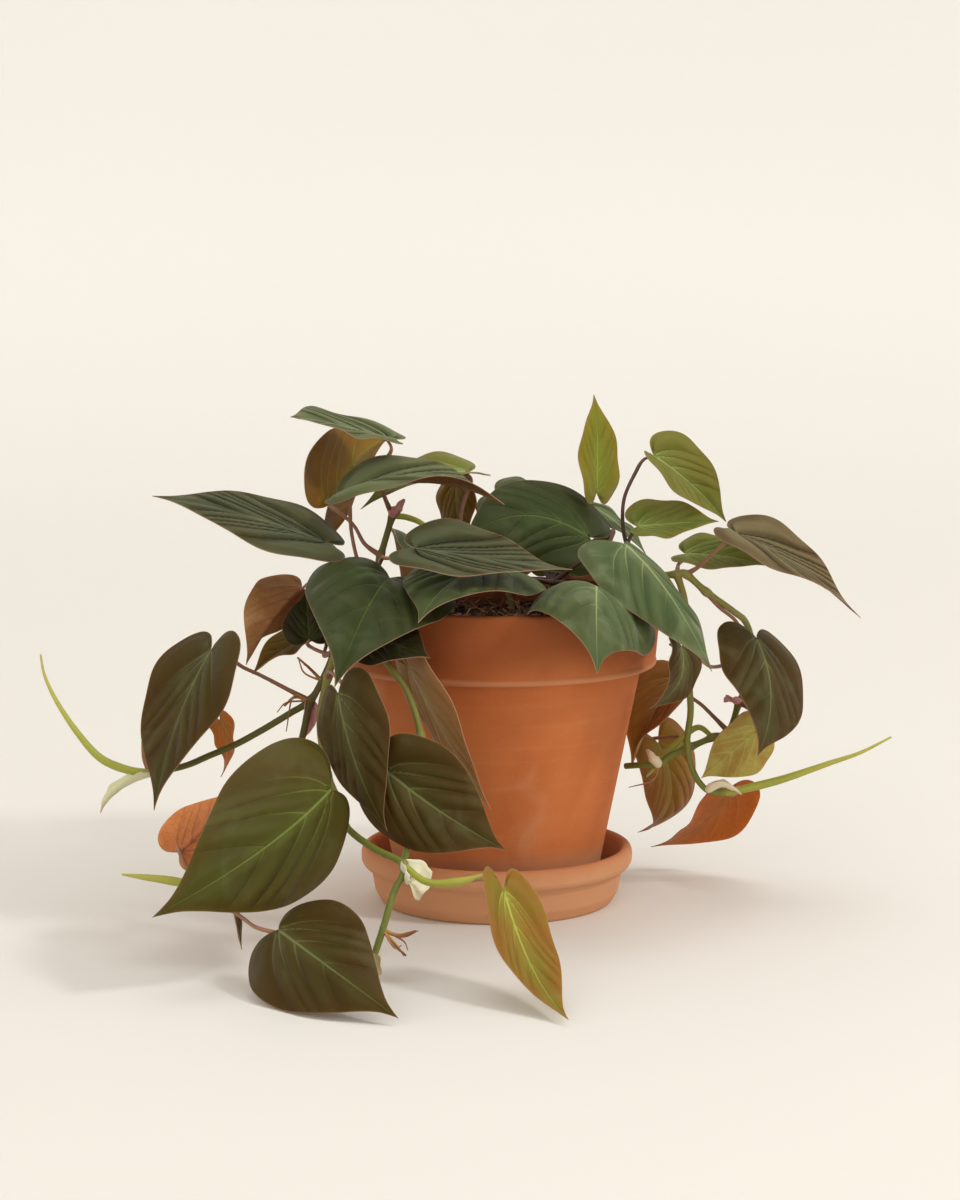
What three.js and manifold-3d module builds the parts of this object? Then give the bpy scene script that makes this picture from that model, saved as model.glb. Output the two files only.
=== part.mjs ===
// A velvet-leaved climbing philodendron in a terracotta pot that stands in its saucer.
// Millimetres, +Z up, -Y toward the viewer. The origin is the middle of the saucer's flat underside.

import * as THREE from "three";
import { mergeVertices } from "three/addons/utils/BufferGeometryUtils.js";
import Module from "manifold-3d";

const wasm = await Module();
wasm.setup();

// Driving dimensions
const clearance = 0.3; // between neighbours that rest on or in each other
const turnSegments = 32; // sides of the thrown pot and saucer
const saucerFloor = 5;
const saucerBaseRadius = 50.7;
const saucerRimRadius = 59;
const saucerRimTop = 24.4;
const potFoot = saucerFloor + clearance;
const potFootRadius = 43;
const potDrainRadius = 7;
const potFloor = 12;
const potShoulder = 103.6; // height of the collar's lower edge
const potShoulderRadius = 62.4;
const potCollarRadius = 68.6;
const potRimRadius = 70;
const potRimTop = 133;
const potMouthRadius = 65;
const soilTop = 121;
const soilRelief = 2.4; // height of the lumps
const soilSpokes = 20;
const bladeThickness = 0.9;
const bladeWave = 1.0; // height of the waves along a leaf's edge
const bladeWavesPerLength = 1.9;
const bladeSteps = 9; // along the edge, from the notch to the tip
const bladeRings = 2; // from the midrib to the edge
const sinusLength = 0.2; // share of the length that the basal veins fan out from
const stemRadius = 1.45;
const petioleRadius = 0.9;
const nodeRadius = 2.3;
const limbSides = 5;
const petioleSides = 4;
const limbStep = 14; // longest straight stretch of a stem
const petioleReach = 5; // length of the bend where a petiole meets its leaf

// Colours
const terracotta = 0xc1704a;
const earth = 0x3a2c22;
const leafTones = {
  green: 0x40603c,
  deep: 0x2e4a38,
  ribbed: 0x4a5a3c,
  fresh: 0x6b8434,
  olive: 0x5c5a30,
  brown: 0x564022,
  dark: 0x2c3420,
  bronze: 0x6a4c20,
  copper: 0x7c5236,
  salmon: 0xc87858,
  purple: 0x523430,
  orange: 0xaa5c38,
  pale: 0x9c9252,
};
const vineTones = { green: 0x71803e, russet: 0x8a5f45 };

// Half of a heart-shaped blade, from the notch at the petiole round a lobe to the tip:
// the share of the length along the midrib and the share of the half width across it
const halfOutline = [
  [0, 0], [-0.05, 0.09], [-0.115, 0.3], [-0.125, 0.55], [-0.065, 0.79], [0.06, 0.95], [0.22, 1],
  [0.4, 0.92], [0.56, 0.74], [0.7, 0.5], [0.81, 0.27], [0.89, 0.12], [0.95, 0.045], [1, 0],
];

// Leaves: notch, tip, width, roll about the midrib in degrees (0 faces the viewer), fold up from the
// midrib and bend toward the edge of each half in degrees, arch and sweep as shares of the length,
// twist in degrees and colour
const leaves = {
  leaf_crown_top: [[-47, 6, 200], [-87, -18, 211], 35, 88, [32, 0], [-27, -18], 0.02, 0.15, 8, "green"],
  leaf_crown_back: [[-73, 6, 171], [-48, 57, 197], 44, 204, [4, 38], [-25, -8], 0, 0.07, 5, "bronze"],
  leaf_crown_front: [[-61, -14, 178], [3, -29, 175], 48, -98, [20, 23], [-73, 34], 0.11, 0.03, 18, "green"],
  leaf_crown_right: [[-13, 26, 184], [-59, 12, 169], 35, 67, [12, 12], [0, 0], 0.11, -0.02, 0, "fresh"],
  leaf_crown_upright: [[-18, 44, 177], [-14, 39, 147], 27, 50, [8, 8], [-18, -18], 0.06, 0, 0, "bronze"],
  leaf_left_reach: [[-73, -26, 159], [-144, -33, 179], 50, 61, [-14, 21], [21, -37], 0.03, 0.01, 12, "olive"],
  leaf_centre_lobe: [[0, 52, 172], [26, 44, 157], 36, -50, [8, 8], [-18, -18], 0.06, 0, 0, "green"],
  leaf_centre_big: [[40, 12, 157], [-16, -10, 157], 46, 33, [0, -12], [-13, -27], 0.07, 0.16, 0, "deep"],
  leaf_centre_behind: [[43, 44, 167], [66, 34, 147], 26, -72, [8, 8], [-18, -18], 0.06, 0, 0, "green"],
  leaf_centre_ribbed: [[-33, -60, 160], [30, -74, 153], 46, -69, [3, -14], [-5, 60], 0, 0.01, 5, "ribbed"],
  leaf_front_drape: [[-1, -41, 149], [-32, -94, 134], 60, 55, [6, 10], [-26, -40], 0.1, 0.02, -15, "green"],
  leaf_front_big: [[-45, -37, 145], [-64, -118, 112], 63, 2, [18, 26], [-70, -36], 0.1, 0.02, -10, "deep"],
  leaf_front_under: [[-52, -77, 124], [-27, -95, 120], 30, -50, [8, 8], [-18, -18], 0.06, 0, 0, "dark"],
  leaf_left_underside: [
    [-83, -18, 138], [-105, -42, 109], 32, 149, [42, 41], [0, 0], -0.04, -0.08, 45, "copper",
  ],
  leaf_left_olive: [[-77, -18, 118], [-104, -22, 102], 25, 70, [30, 27], [-10, -42], 0.03, 0.1, 7, "olive"],
  leaf_left_dark: [[-79, -34, 119], [-81, -27, 138], 22, 10, [8, 8], [-18, -18], 0.06, 0, 0, "dark"],
  leaf_left_long: [[-119, -50, 116], [-141, -70, 53], 56, 64, [4, 12], [30, -50], 0.05, -0.01, 10, "brown"],
  leaf_left_young: [[-116, -40, 85], [-116, -40, 61], 17, -65, [6, 9], [-24, -30], 0.14, -0.03, 30, "salmon"],
  leaf_left_peach: [
    [-127, -103, 43], [-106, -83, 65], 26, 175, [3, 8], [-18, -18], 0.07, -0.02, -5, "salmon",
  ],
  leaf_low_big: [[-66, -118, 71], [-130, -176, 34], 64, -14, [-8, -10], [-42, -18], 0.12, 0, -8, "olive"],
  leaf_low_tip: [[-107, -108, 36], [-101, -122, 8], 23, -82, [11, 4], [-10, -22], 0, 0, 0, "brown"],
  leaf_floor_brown: [[-84, -158, 25], [-37, -203, 3], 50, -12, [-5, -22], [-7, -7], 0.12, 0, 0, "brown"],
  leaf_front_long: [[-64, -94, 105], [-44, -111, 53], 41, 44, [-16, -7], [15, -21], 0.07, -0.01, 8, "brown"],
  leaf_front_brown: [[-44, -104, 76], [3, -118, 47], 45, 4, [20, 10], [-50, -10], 0, 0.03, 40, "brown"],
  leaf_pot_hugging: [[-36, -76, 113], [-3, -82, 56], 34, 62, [2, 2], [-14, -14], 0.05, -0.06, 0, "brown"],
  leaf_right_upright: [[44, 31, 175], [43, 41, 217], 30, 53, [10, 11], [-8, -16], 0.04, -0.02, 22, "fresh"],
  leaf_right_arching: [[68, 10, 192], [99, 7, 164], 30, -40, [37, 35], [-33, 3], 0.02, -0.04, -38, "olive"],
  leaf_right_flat: [[61, 6, 162], [95, 0, 165], 26, -50, [24, 26], [-18, -11], -0.05, -0.07, -15, "green"],
  leaf_right_behind: [[83, 26, 148], [117, 17, 144], 26, -53, [16, 19], [-10, -16], 0.05, 0.01, -19, "olive"],
  leaf_right_reach: [[104, 4, 159], [155, -14, 125], 45, -82, [9, 0], [-44, 60], 0.05, 0.01, 6, "olive"],
  leaf_right_hanging: [[113, 8, 113], [109, -40, 70], 46, -38, [-6, -2], [-30, 4], 0.06, -0.07, 6, "brown"],
  leaf_right_drape: [[54, -27, 158], [87, -72, 111], 51, -44, [-16, -21], [5, -25], 0.09, 0.03, 0, "green"],
  leaf_rim_drape: [[41, -48, 143], [39, -106, 115], 69, -16, [16, -10], [-108, -42], 0.15, 0.06, 26, "green"],
  leaf_curled_brown: [[77, -40, 116], [63, -52, 92], 21, -59, [-9, 20], [-11, 10], 0.2, -0.01, 14, "copper"],
  leaf_right_inner: [[79, 22, 93], [60, 34, 51], 33, 42, [42, 40], [-10, -6], 0, 0.05, -43, "olive"],
  leaf_right_purple: [[73, 44, 60], [65, 64, 15], 34, -40, [19, 23], [-25, -53], 0.23, -0.08, 17, "purple"],
  leaf_right_orange: [[103, 26, 43], [70, 48, 12], 34, 129, [-8, -5], [-40, -23], -0.07, 0.09, 12, "orange"],
  leaf_right_pale: [[114, 14, 72], [89, 4, 52], 32, 150, [-6, -6], [-16, -16], 0, 0, -20, "pale"],
  leaf_floor_pale: [[2, -150, 38], [25, -204, 3], 27, -46, [8, 14], [6, 6], -0.1, -0.02, -30, "pale"],
  leaf_back_upper: [[6, 48, 152], [6, 98, 120], 46, 180, [10, 10], [-30, -30], 0.1, 0.02, 4, "green"],
  leaf_back_left: [[-28, 39, 144], [-45, 95, 116], 42, 168, [14, 14], [-20, -20], 0.22, -0.02, -6, "green"],
  leaf_back_right: [[34, 36, 144], [52, 92, 116], 42, 192, [14, 14], [-20, -20], 0.2, 0.02, 6, "olive"],
  leaf_back_crown: [[28, 56, 160], [32, 94, 146], 34, 186, [14, 12], [-24, -30], 0.1, -0.03, -8, "fresh"],
  leaf_back_low: [[2, 86, 102], [-6, 98, 46], 46, 182, [10, 14], [-26, -34], 0.08, 0.03, 6, "brown"],
  leaf_back_low_left: [[-36, 80, 108], [-50, 90, 60], 40, 186, [12, 12], [-28, -20], 0.08, -0.03, 8, "olive"],
  leaf_back_low_right: [[40, 80, 98], [50, 84, 50], 38, 172, [10, 12], [-20, -34], 0.08, 0.03, -8, "brown"],
};

// Petioles: the vine that carries the leaf, and the route from that vine to the bend below the leaf
const petioles = {
  leaf_crown_top: ["vine_crown", [[-45, 4, 167], [-49, 5, 177], [-50, 9, 187]]],
  leaf_crown_back: ["vine_crown", [[-50, 0, 150], [-57, 2, 155], [-62, 5, 163]]],
  leaf_crown_front: ["vine_crown", [[-54, -6, 136], [-59, -8, 147], [-62, -10, 161]]],
  leaf_crown_right: ["vine_crown_back", [[-19, 22, 134], [-17, 26, 150], [-15, 28, 168]]],
  leaf_crown_upright: ["vine_crown_back", [[-19, 22, 134], [-8, 38, 150], [-8, 48, 164]]],
  leaf_left_reach: ["vine_crown", [[-54, -6, 136], [-60, -14, 146]]],
  leaf_centre_lobe: ["vine_centre", [[24, 2, 138], [18, 22, 146], [8, 44, 158]]],
  leaf_centre_big: ["vine_centre", [[24, 2, 138], [34, 8, 146]]],
  leaf_centre_behind: ["vine_centre", [[24, 2, 138], [30, 20, 148], [34, 36, 156]]],
  leaf_centre_ribbed: ["vine_crown", [[-54, -6, 136], [-49, -22, 151], [-46, -44, 154]]],
  leaf_front_drape: ["vine_centre", [[24, 2, 138], [16, -18, 142], [8, -38, 143]]],
  leaf_front_big: ["vine_front", [[-46, -36, 129], [-44, -32, 136]]],
  leaf_front_under: ["vine_front", [[-56, -66, 120]]],
  leaf_left_underside: ["vine_left", [[-58, -33, 137], [-66, -29, 141], [-74, -22, 141]]],
  leaf_left_olive: ["vine_left", [[-68, -42, 115], [-73, -30, 111]]],
  leaf_left_dark: ["vine_left", [[-68, -42, 115], [-72, -36, 113]]],
  leaf_left_long: ["vine_left", [[-78, -49, 95], [-86, -48, 99], [-98, -46, 105], [-107, -44, 109]]],
  leaf_left_young: ["vine_left", [[-145, -46, 64], [-148, -42, 71], [-147, -38, 81], [-135, -36, 87]]],
  leaf_left_peach: ["vine_left", [[-120, -110, 31]]],
  leaf_low_big: ["vine_front", [[-69, -84, 71], [-68, -94, 76], [-68, -106, 75]]],
  leaf_low_tip: ["vine_left", [[-95, -90, 57], [-103, -102, 47]]],
  leaf_floor_brown: ["vine_left", [[-120, -110, 31], [-112, -120, 28], [-100, -134, 24], [-93, -147, 23]]],
  leaf_front_long: ["vine_front", [[-70, -56, 106], [-69, -66, 110], [-66, -82, 111]]],
  leaf_front_brown: ["vine_front", [[-31, -92, 88]]],
  leaf_pot_hugging: ["vine_front", [[-48, -76, 118], [-39, -71, 119]]],
  leaf_right_upright: ["vine_centre", [[24, 2, 138], [34, 24, 150], [36, 31, 162]]],
  leaf_right_arching: ["vine_right_upright", [[59, 12, 147], [55, 12, 159], [55, 12, 173], [60, 12, 185]]],
  leaf_right_flat: ["vine_right_upright", [[59, 12, 147], [57, 9, 154]]],
  leaf_right_behind: ["vine_right", [[78, 8, 141], [79, 16, 144]]],
  leaf_right_reach: ["vine_right", [[82, 8, 141], [88, 7, 145], [94, 6, 151]]],
  leaf_right_hanging: ["vine_right", [[91, 10, 133], [97, 12, 126], [104, 15, 120]]],
  leaf_right_drape: ["vine_centre", [[24, 2, 138], [36, -6, 148], [46, -13, 153]]],
  leaf_rim_drape: ["vine_centre", [[24, 2, 138], [30, -8, 139]]],
  leaf_curled_brown: [
    "vine_right", [[114, 32, 102], [105, 24, 101], [99, 10, 101], [92, -8, 103], [86, -22, 108]],
  ],
  leaf_right_inner: ["vine_right", [[102, 18, 70], [91, 20, 81], [85, 22, 86]]],
  leaf_right_purple: ["vine_right", [[85, 14, 64], [81, 22, 67]]],
  leaf_right_orange: ["vine_right", [[100, 8, 45], [104, 16, 42]]],
  leaf_right_pale: ["vine_right", [[107, 24, 82], [111, 20, 80]]],
  leaf_floor_pale: ["vine_front", [[-37, -128, 43], [-28, -134, 38], [-16, -139, 39], [-6, -143, 41]]],
  leaf_back_upper: ["vine_back", [[6, 44, 128], [0, 42, 142]]],
  leaf_back_left: ["vine_crown_back", [[-19, 22, 134], [-21, 28, 136]]],
  leaf_back_right: ["vine_back", [[6, 44, 128], [20, 34, 132]]],
  leaf_back_crown: ["vine_centre", [[24, 2, 138], [25, 24, 148], [28, 42, 156]]],
  leaf_back_low: ["vine_back", [[0, 77, 124], [2, 81, 114]]],
  leaf_back_low_left: ["vine_back", [[2, 69, 138], [-12, 77, 130], [-24, 80, 122]]],
  leaf_back_low_right: ["vine_back", [[2, 78, 92], [16, 77, 102], [32, 75, 108]]],
};

// Vines: stems from the soil outward, with tapering growing tips, papery sheaths and aerial roots.
// A tapering limb is its route and its radius along it.
const vines = {
  vine_left: {
    tone: "russet",
    rooted: [
      [-44, -20, 108], [-50, -26, 127], [-58, -33, 137], [-64, -38, 132], [-68, -42, 115], [-73, -47, 103],
      [-78, -49, 95], [-86, -50, 90], [-98, -52, 83], [-109, -52, 77], [-120, -50, 72], [-131, -47, 67],
      [-145, -46, 64],
    ],
    branches: [
      [
        [-78, -49, 95], [-81, -64, 80], [-87, -76, 71], [-95, -90, 57], [-105, -102, 44], [-115, -108, 35],
        [-120, -110, 31],
      ],
    ],
    tips: [
      [
        [
          [-145, -46, 64], [-155, -44, 65], [-167, -38, 69], [-178, -30, 79], [-188, -20, 91],
          [-194, -10, 100], [-197, 0, 107],
        ],
        [1.6, 1.8, 1.6, 1.3, 1, 0.7, 0.4],
      ],
      [[[-120, -110, 31], [-125, -110, 32], [-134, -108, 33], [-150, -104, 34]], [1.6, 1.8, 1.3, 0.4]],
    ],
    sheaths: [
      [
        [[-145, -46, 64], [-154, -49, 63], [-161, -51, 59], [-165, -51, 53], [-166, -50, 48]],
        [1.2, 2.6, 2.8, 1.8, 0.5],
      ],
      [[[-78, -49, 95], [-77, -53, 91], [-78, -54, 86], [-80, -54, 81]], [1.4, 2.4, 2, 0.5]],
    ],
    roots: [
      [[[-73, -47, 103], [-78, -50, 109], [-83, -48, 113]], [0.8, 0.6, 0.4]],
      [[[-78, -49, 95], [-84, -52, 97], [-88, -56, 94]], [0.8, 0.6, 0.4]],
    ],
  },
  vine_front: {
    tone: "green",
    rooted: [
      [-38, -30, 108], [-42, -33, 118], [-46, -36, 129], [-54, -43, 139], [-60, -49, 135], [-65, -52, 122],
      [-70, -56, 106], [-73, -60, 92], [-72, -70, 81], [-69, -84, 71], [-64, -92, 61], [-60, -100, 52],
      [-49, -115, 47], [-37, -128, 43], [-41, -133, 33], [-45, -138, 20], [-48, -140, 11],
    ],
    branches: [
      [
        [-65, -52, 122], [-56, -66, 120], [-48, -76, 118], [-42, -81, 112], [-36, -86, 104], [-31, -92, 88],
        [-31, -93, 72], [-34, -94, 58], [-36, -102, 47], [-37, -116, 43], [-37, -128, 43],
      ],
    ],
    tips: [
      [[[-37, -128, 43], [-28, -134, 38], [-16, -139, 39], [-5, -143, 43]], [1.4, 1.4, 1.9, 0.6]],
    ],
    sheaths: [
      [[[-37, -128, 43], [-32, -131, 43], [-29, -134, 38], [-31, -136, 31]], [2, 5, 5.5, 1]],
      [[[-48, -140, 11], [-48, -141, 7], [-46, -142, 3]], [1.6, 2, 0.5]],
    ],
    roots: [
      [[[-45, -138, 20], [-39, -139, 18], [-32, -140, 20]], [0.8, 0.7, 0.4]],
      [[[-45, -138, 20], [-40, -140, 14], [-36, -139, 10]], [0.8, 0.6, 0.4]],
    ],
  },
  vine_crown: {
    tone: "russet",
    rooted: [[-50, -4, 108], [-53, -6, 122], [-54, -6, 136], [-50, 0, 150], [-45, 4, 167]],
    branches: [],
    tips: [
      [[[-45, 4, 167], [-38, 4, 166], [-31, 0, 163], [-24, -6, 155]], [1.4, 1.3, 1, 0.5]],
    ],
    sheaths: [
      [[[-45, 4, 167], [-43, 1, 171], [-40, -1, 175]], [1.4, 2.2, 0.5]],
    ],
    roots: [],
  },
  vine_crown_back: {
    tone: "green",
    rooted: [[-22, 20, 108], [-20, 20, 122], [-19, 22, 134]],
    branches: [],
    tips: [],
    sheaths: [],
    roots: [],
  },
  vine_centre: {
    tone: "green",
    rooted: [[20, 8, 108], [22, 5, 124], [24, 2, 138]],
    branches: [],
    tips: [],
    sheaths: [],
    roots: [],
  },
  vine_right_upright: {
    tone: "green",
    rooted: [[54, 10, 108], [58, 11, 126], [60, 12, 138], [59, 12, 147]],
    branches: [],
    tips: [],
    sheaths: [],
    roots: [],
  },
  vine_right: {
    tone: "green",
    rooted: [
      [50, 28, 108], [56, 23, 127], [63, 18, 138], [71, 12, 140], [78, 8, 141], [82, 8, 141], [91, 10, 133],
      [103, 16, 124], [110, 24, 117], [114, 32, 102], [111, 28, 89], [107, 24, 82], [102, 18, 70],
      [95, 16, 68], [85, 14, 64], [76, 14, 60], [71, 14, 56], [66, 15, 56], [57, 22, 54],
    ],
    branches: [
      [
        [78, 8, 141], [81, 2, 130], [82, -2, 114], [83, 0, 96], [84, 2, 82], [83, 6, 67], [86, 8, 54],
        [92, 8, 46], [100, 8, 45],
      ],
    ],
    tips: [
      [
        [[100, 8, 45], [106, 8, 46], [124, 6, 51], [145, 3, 59], [158, 1, 64], [171, 0, 71]],
        [1.6, 1.9, 1.6, 1.2, 0.8, 0.4],
      ],
      [[[95, 16, 68], [88, 18, 72], [78, 19, 63], [66, 18, 50]], [1, 1.5, 2.2, 0.4]],
    ],
    sheaths: [
      [[[102, 18, 70], [107, 17, 74], [110, 16, 72]], [1.3, 2.2, 0.5]],
      [[[71, 14, 56], [69, 11, 60], [66, 10, 64]], [1.3, 2.2, 0.5]],
      [[[92, 8, 46], [98, 5, 51], [104, 4, 49], [107, 4, 45]], [1.3, 2.4, 2.2, 0.5]],
      [[[107, 24, 82], [103, 20, 86], [100, 16, 84]], [1.2, 2.2, 0.5]],
    ],
    roots: [
      [[[71, 14, 56], [68, 12, 50], [66, 11, 46]], [0.8, 0.6, 0.4]],
    ],
  },
  vine_back: {
    tone: "russet",
    rooted: [
      [8, 34, 108], [6, 44, 128], [4, 58, 138], [2, 69, 138], [0, 77, 124], [0, 78, 104], [2, 78, 92],
      [8, 76, 70], [14, 80, 52], [18, 84, 38],
    ],
    branches: [],
    tips: [
      [[[18, 84, 38], [21, 88, 30], [26, 94, 22], [34, 100, 20]], [1.6, 1.7, 1.2, 0.4]],
    ],
    sheaths: [
      [[[18, 84, 38], [16, 88, 34], [15, 92, 28]], [1.3, 2.2, 0.5]],
    ],
    roots: [],
  },
};

const vector = (point) => new THREE.Vector3(...point);
const curveThrough = (points) => new THREE.CatmullRomCurve3(points.map(vector), false, "catmullrom");

function standard(color, roughness = 0.7) {
  return new THREE.MeshStandardMaterial({ color, roughness, metalness: 0, side: THREE.DoubleSide });
}

// A shape with its shared corners merged and its collapsed triangles left out
function welded(geometry) {
  const bare = geometry.clone();
  bare.deleteAttribute("normal");
  bare.deleteAttribute("uv");
  const merged = mergeVertices(bare, 1e-3);
  const corners = merged.index.array;
  const kept = [];
  for (let k = 0; k < corners.length; k += 3) {
    const [a, b, c] = corners.slice(k, k + 3);
    if (a !== b && b !== c && c !== a) kept.push(a, b, c);
  }
  merged.setIndex(kept);
  return merged;
}

function toManifold(geometry) {
  const merged = welded(geometry);
  return new wasm.Manifold(new wasm.Mesh({
    numProp: 3,
    vertProperties: new Float32Array(merged.attributes.position.array),
    triVerts: new Uint32Array(merged.index.array),
  }));
}

function toGeometry(manifold) {
  const mesh = manifold.getMesh();
  const geometry = new THREE.BufferGeometry();
  geometry.setAttribute("position", new THREE.BufferAttribute(mesh.vertProperties, 3));
  geometry.setIndex(new THREE.BufferAttribute(mesh.triVerts, 1));
  geometry.computeVertexNormals();
  return geometry;
}

// Thrown pieces: a profile of radius and height turned about the pot's axis
function turned(profile) {
  const points = profile.map(([radius, height]) => new THREE.Vector2(radius, height));
  return welded(new THREE.LatheGeometry(points, turnSegments)).rotateX(Math.PI / 2);
}

function saucerGeometry() {
  return turned([
    [0, 0], [saucerBaseRadius - 0.9, 0], [saucerBaseRadius, 0.8], [53, 5], [54.4, 13], [55.4, 14.6],
    [57.6, 15.6], [saucerRimRadius - 0.2, 17.6], [saucerRimRadius, 21.4], [saucerRimRadius - 0.7, 23.4],
    [57, saucerRimTop], [55.2, saucerRimTop - 0.2], [54, 22.6], [51, 8], [49.4, 5.6],
    [47.6, saucerFloor], [0, saucerFloor],
  ]);
}

const potInside = [
  [potMouthRadius, potRimTop - 1.6], [62.6, 112], [56.6, 98], [41, 22], [38, potFloor],
];

function potGeometry() {
  return turned([
    [potDrainRadius, potFoot], [potFootRadius - 0.9, potFoot], [potFootRadius, potFoot + 0.9], [46, 22],
    [potShoulderRadius - 0.6, potShoulder - 3], [potShoulderRadius, potShoulder - 0.6], [63.4, potShoulder],
    [potCollarRadius - 0.8, potShoulder], [potCollarRadius, potShoulder + 0.9], [69.6, 119],
    [potRimRadius, potRimTop - 1.6], [potRimRadius - 0.5, potRimTop - 0.4], [potRimRadius - 1.5, potRimTop],
    [potMouthRadius + 1.4, potRimTop], [potMouthRadius + 0.4, potRimTop - 0.4], ...potInside,
    [potDrainRadius, potFloor], [potDrainRadius, potFoot],
  ]);
}

// Lumpy soil that fills the pot, with a plain hole where each stem stands
function soilGeometry() {
  const wallAt = (height) => {
    const [upper, lower] = potInside;
    const share = (height - lower[1]) / (upper[1] - lower[1]);
    return lower[0] + share * (upper[0] - lower[0]) - clearance;
  };
  const underside = potInside.slice(1).reverse().map(([radius, height]) => [radius - clearance, height]);
  underside[0][1] += clearance;
  const wallHeight = soilTop - 2;
  const profile = [[0, underside[0][1]], ...underside, [wallAt(wallHeight), wallHeight]];
  const crownRings = [57, 46, 35, 24, 12, 0];
  const points = [...profile, ...crownRings.map((radius) => [radius, soilTop])];
  const flat = new THREE.LatheGeometry(points.map(([r, z]) => new THREE.Vector2(r, z)), soilSpokes);
  flat.rotateX(Math.PI / 2);
  const position = flat.attributes.position;
  for (let k = 0; k < position.count; k += 1) {
    const [x, y, z] = [position.getX(k), position.getY(k), position.getZ(k)];
    if (z < soilTop - 0.5) continue;
    const lumps = Math.sin(x * 0.31 + 1.3 * Math.sin(y * 0.17)) * Math.cos(y * 0.27 + x * 0.09);
    position.setZ(k, z + soilRelief * lumps);
  }
  let soil = toManifold(flat);
  for (const vine of Object.values(vines)) {
    const foot = vector(vine.rooted[0]);
    const rise = vector(vine.rooted[1]).sub(foot).normalize();
    const sunk = foot.addScaledVector(rise, -2 * clearance);
    const hole = [sunk.toArray(), ...vine.rooted.slice(0, 3)];
    soil = soil.subtract(toManifold(stemGeometry(hole, stemRadius + 2 * clearance)));
  }
  return toGeometry(soil);
}

// A round limb of one thickness along a route
function stemGeometry(points, radius, sides = limbSides) {
  const curve = curveThrough(points);
  const corners = [];
  for (let k = 0; k < sides; k += 1) {
    const angle = (2 * Math.PI * k) / sides;
    corners.push(new THREE.Vector2(radius * Math.cos(angle), radius * Math.sin(angle)));
  }
  const steps = Math.max(2, Math.ceil(curve.getLength() / limbStep));
  const section = new THREE.Shape(corners);
  return new THREE.ExtrudeGeometry(section, { steps, extrudePath: curve, bevelEnabled: false });
}

// A limb that swells and tapers along its route, pressed flat by a share
function taperedGeometry(points, radii, flatness = 1) {
  const curve = curveThrough(points);
  const steps = Math.max(points.length - 1, Math.ceil(curve.getLength() / limbStep));
  const frames = curve.computeFrenetFrames(steps, false);
  const position = [];
  const index = [];
  for (let k = 0; k <= steps; k += 1) {
    const centre = curve.getPointAt(k / steps);
    const place = (k / steps) * (radii.length - 1);
    const before = Math.min(Math.floor(place), radii.length - 2);
    const radius = THREE.MathUtils.lerp(radii[before], radii[before + 1], place - before);
    for (let j = 0; j < limbSides; j += 1) {
      const angle = (2 * Math.PI * j) / limbSides;
      const corner = centre.clone().addScaledVector(frames.normals[k], radius * Math.cos(angle));
      corner.addScaledVector(frames.binormals[k], flatness * radius * Math.sin(angle));
      position.push(...corner.toArray());
    }
  }
  for (let k = 0; k < steps; k += 1) {
    for (let j = 0; j < limbSides; j += 1) {
      const a = k * limbSides + j;
      const b = k * limbSides + ((j + 1) % limbSides);
      index.push(a, b, b + limbSides, a, b + limbSides, a + limbSides);
    }
  }
  const last = steps * limbSides;
  for (let j = 1; j < limbSides - 1; j += 1) {
    index.push(0, j + 1, j, last, last + j, last + j + 1);
  }
  const geometry = new THREE.BufferGeometry();
  geometry.setAttribute("position", new THREE.Float32BufferAttribute(position, 3));
  geometry.setIndex(index);
  return geometry;
}

// A leaf's placing: its midrib, the way it faces and its bow
function leafFrame([base, tip, width, roll, fold, bend, arch, sweep, twist]) {
  const notch = vector(base);
  const chord = vector(tip).sub(notch);
  const length = chord.length();
  const midrib = chord.clone().normalize();
  const facing = new THREE.Vector3(0, -1, 0.1).projectOnPlane(midrib).normalize();
  facing.applyAxisAngle(midrib, THREE.MathUtils.degToRad(roll));
  const sideways = midrib.clone().cross(facing);
  const bow = facing.clone().multiplyScalar(arch * length).addScaledVector(sideways, sweep * length);
  return { notch, chord, length, midrib, facing, sideways, bow, halfWidth: width / 2, fold, bend, twist };
}

// The directions of a leaf at a place along its midrib: forward, across and out of the upper face
function midribAxes(frame, along) {
  const slope = along < 0 ? 4 : 4 - 8 * along;
  const forward = frame.chord.clone().addScaledVector(frame.bow, slope).normalize();
  const up = frame.sideways.clone().cross(forward).normalize();
  const level = forward.clone().cross(up);
  const turn = THREE.MathUtils.degToRad(frame.twist) * (along - 0.3);
  const out = level.multiplyScalar(Math.cos(turn)).addScaledVector(up, Math.sin(turn));
  const normal = out.clone().cross(forward);
  return { forward, out, normal };
}

// A point of the blade's upper face and the blade's direction of thickness there
function bladePoint(frame, side, along, across) {
  const half = side > 0 ? 0 : 1;
  const rise = along < 0 ? 4 * along : 4 * along * (1 - along);
  const { out, normal } = midribAxes(frame, along);
  const fold = THREE.MathUtils.degToRad(frame.fold[half]);
  const bend = THREE.MathUtils.degToRad(frame.bend[half]) || 1e-3;
  const lean = fold + bend * across;
  const reach = (frame.halfWidth / bend) * (Math.sin(lean) - Math.sin(fold));
  const lift = (-frame.halfWidth / bend) * (Math.cos(lean) - Math.cos(fold));
  const phase = 2 * Math.PI * along * bladeWavesPerLength + (side > 0 ? 0.15 : 0.6);
  const wave = bladeWave * Math.sin(phase) * across ** 2;
  const point = frame.notch.clone().addScaledVector(frame.chord, along).addScaledVector(frame.bow, rise);
  point.addScaledVector(out, side * reach).addScaledVector(normal, lift + wave);
  const lateral = across > 0 ? lean : 0;
  const depth = normal.multiplyScalar(Math.cos(lateral)).addScaledVector(out, -side * Math.sin(lateral));
  return { point, depth };
}

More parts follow.
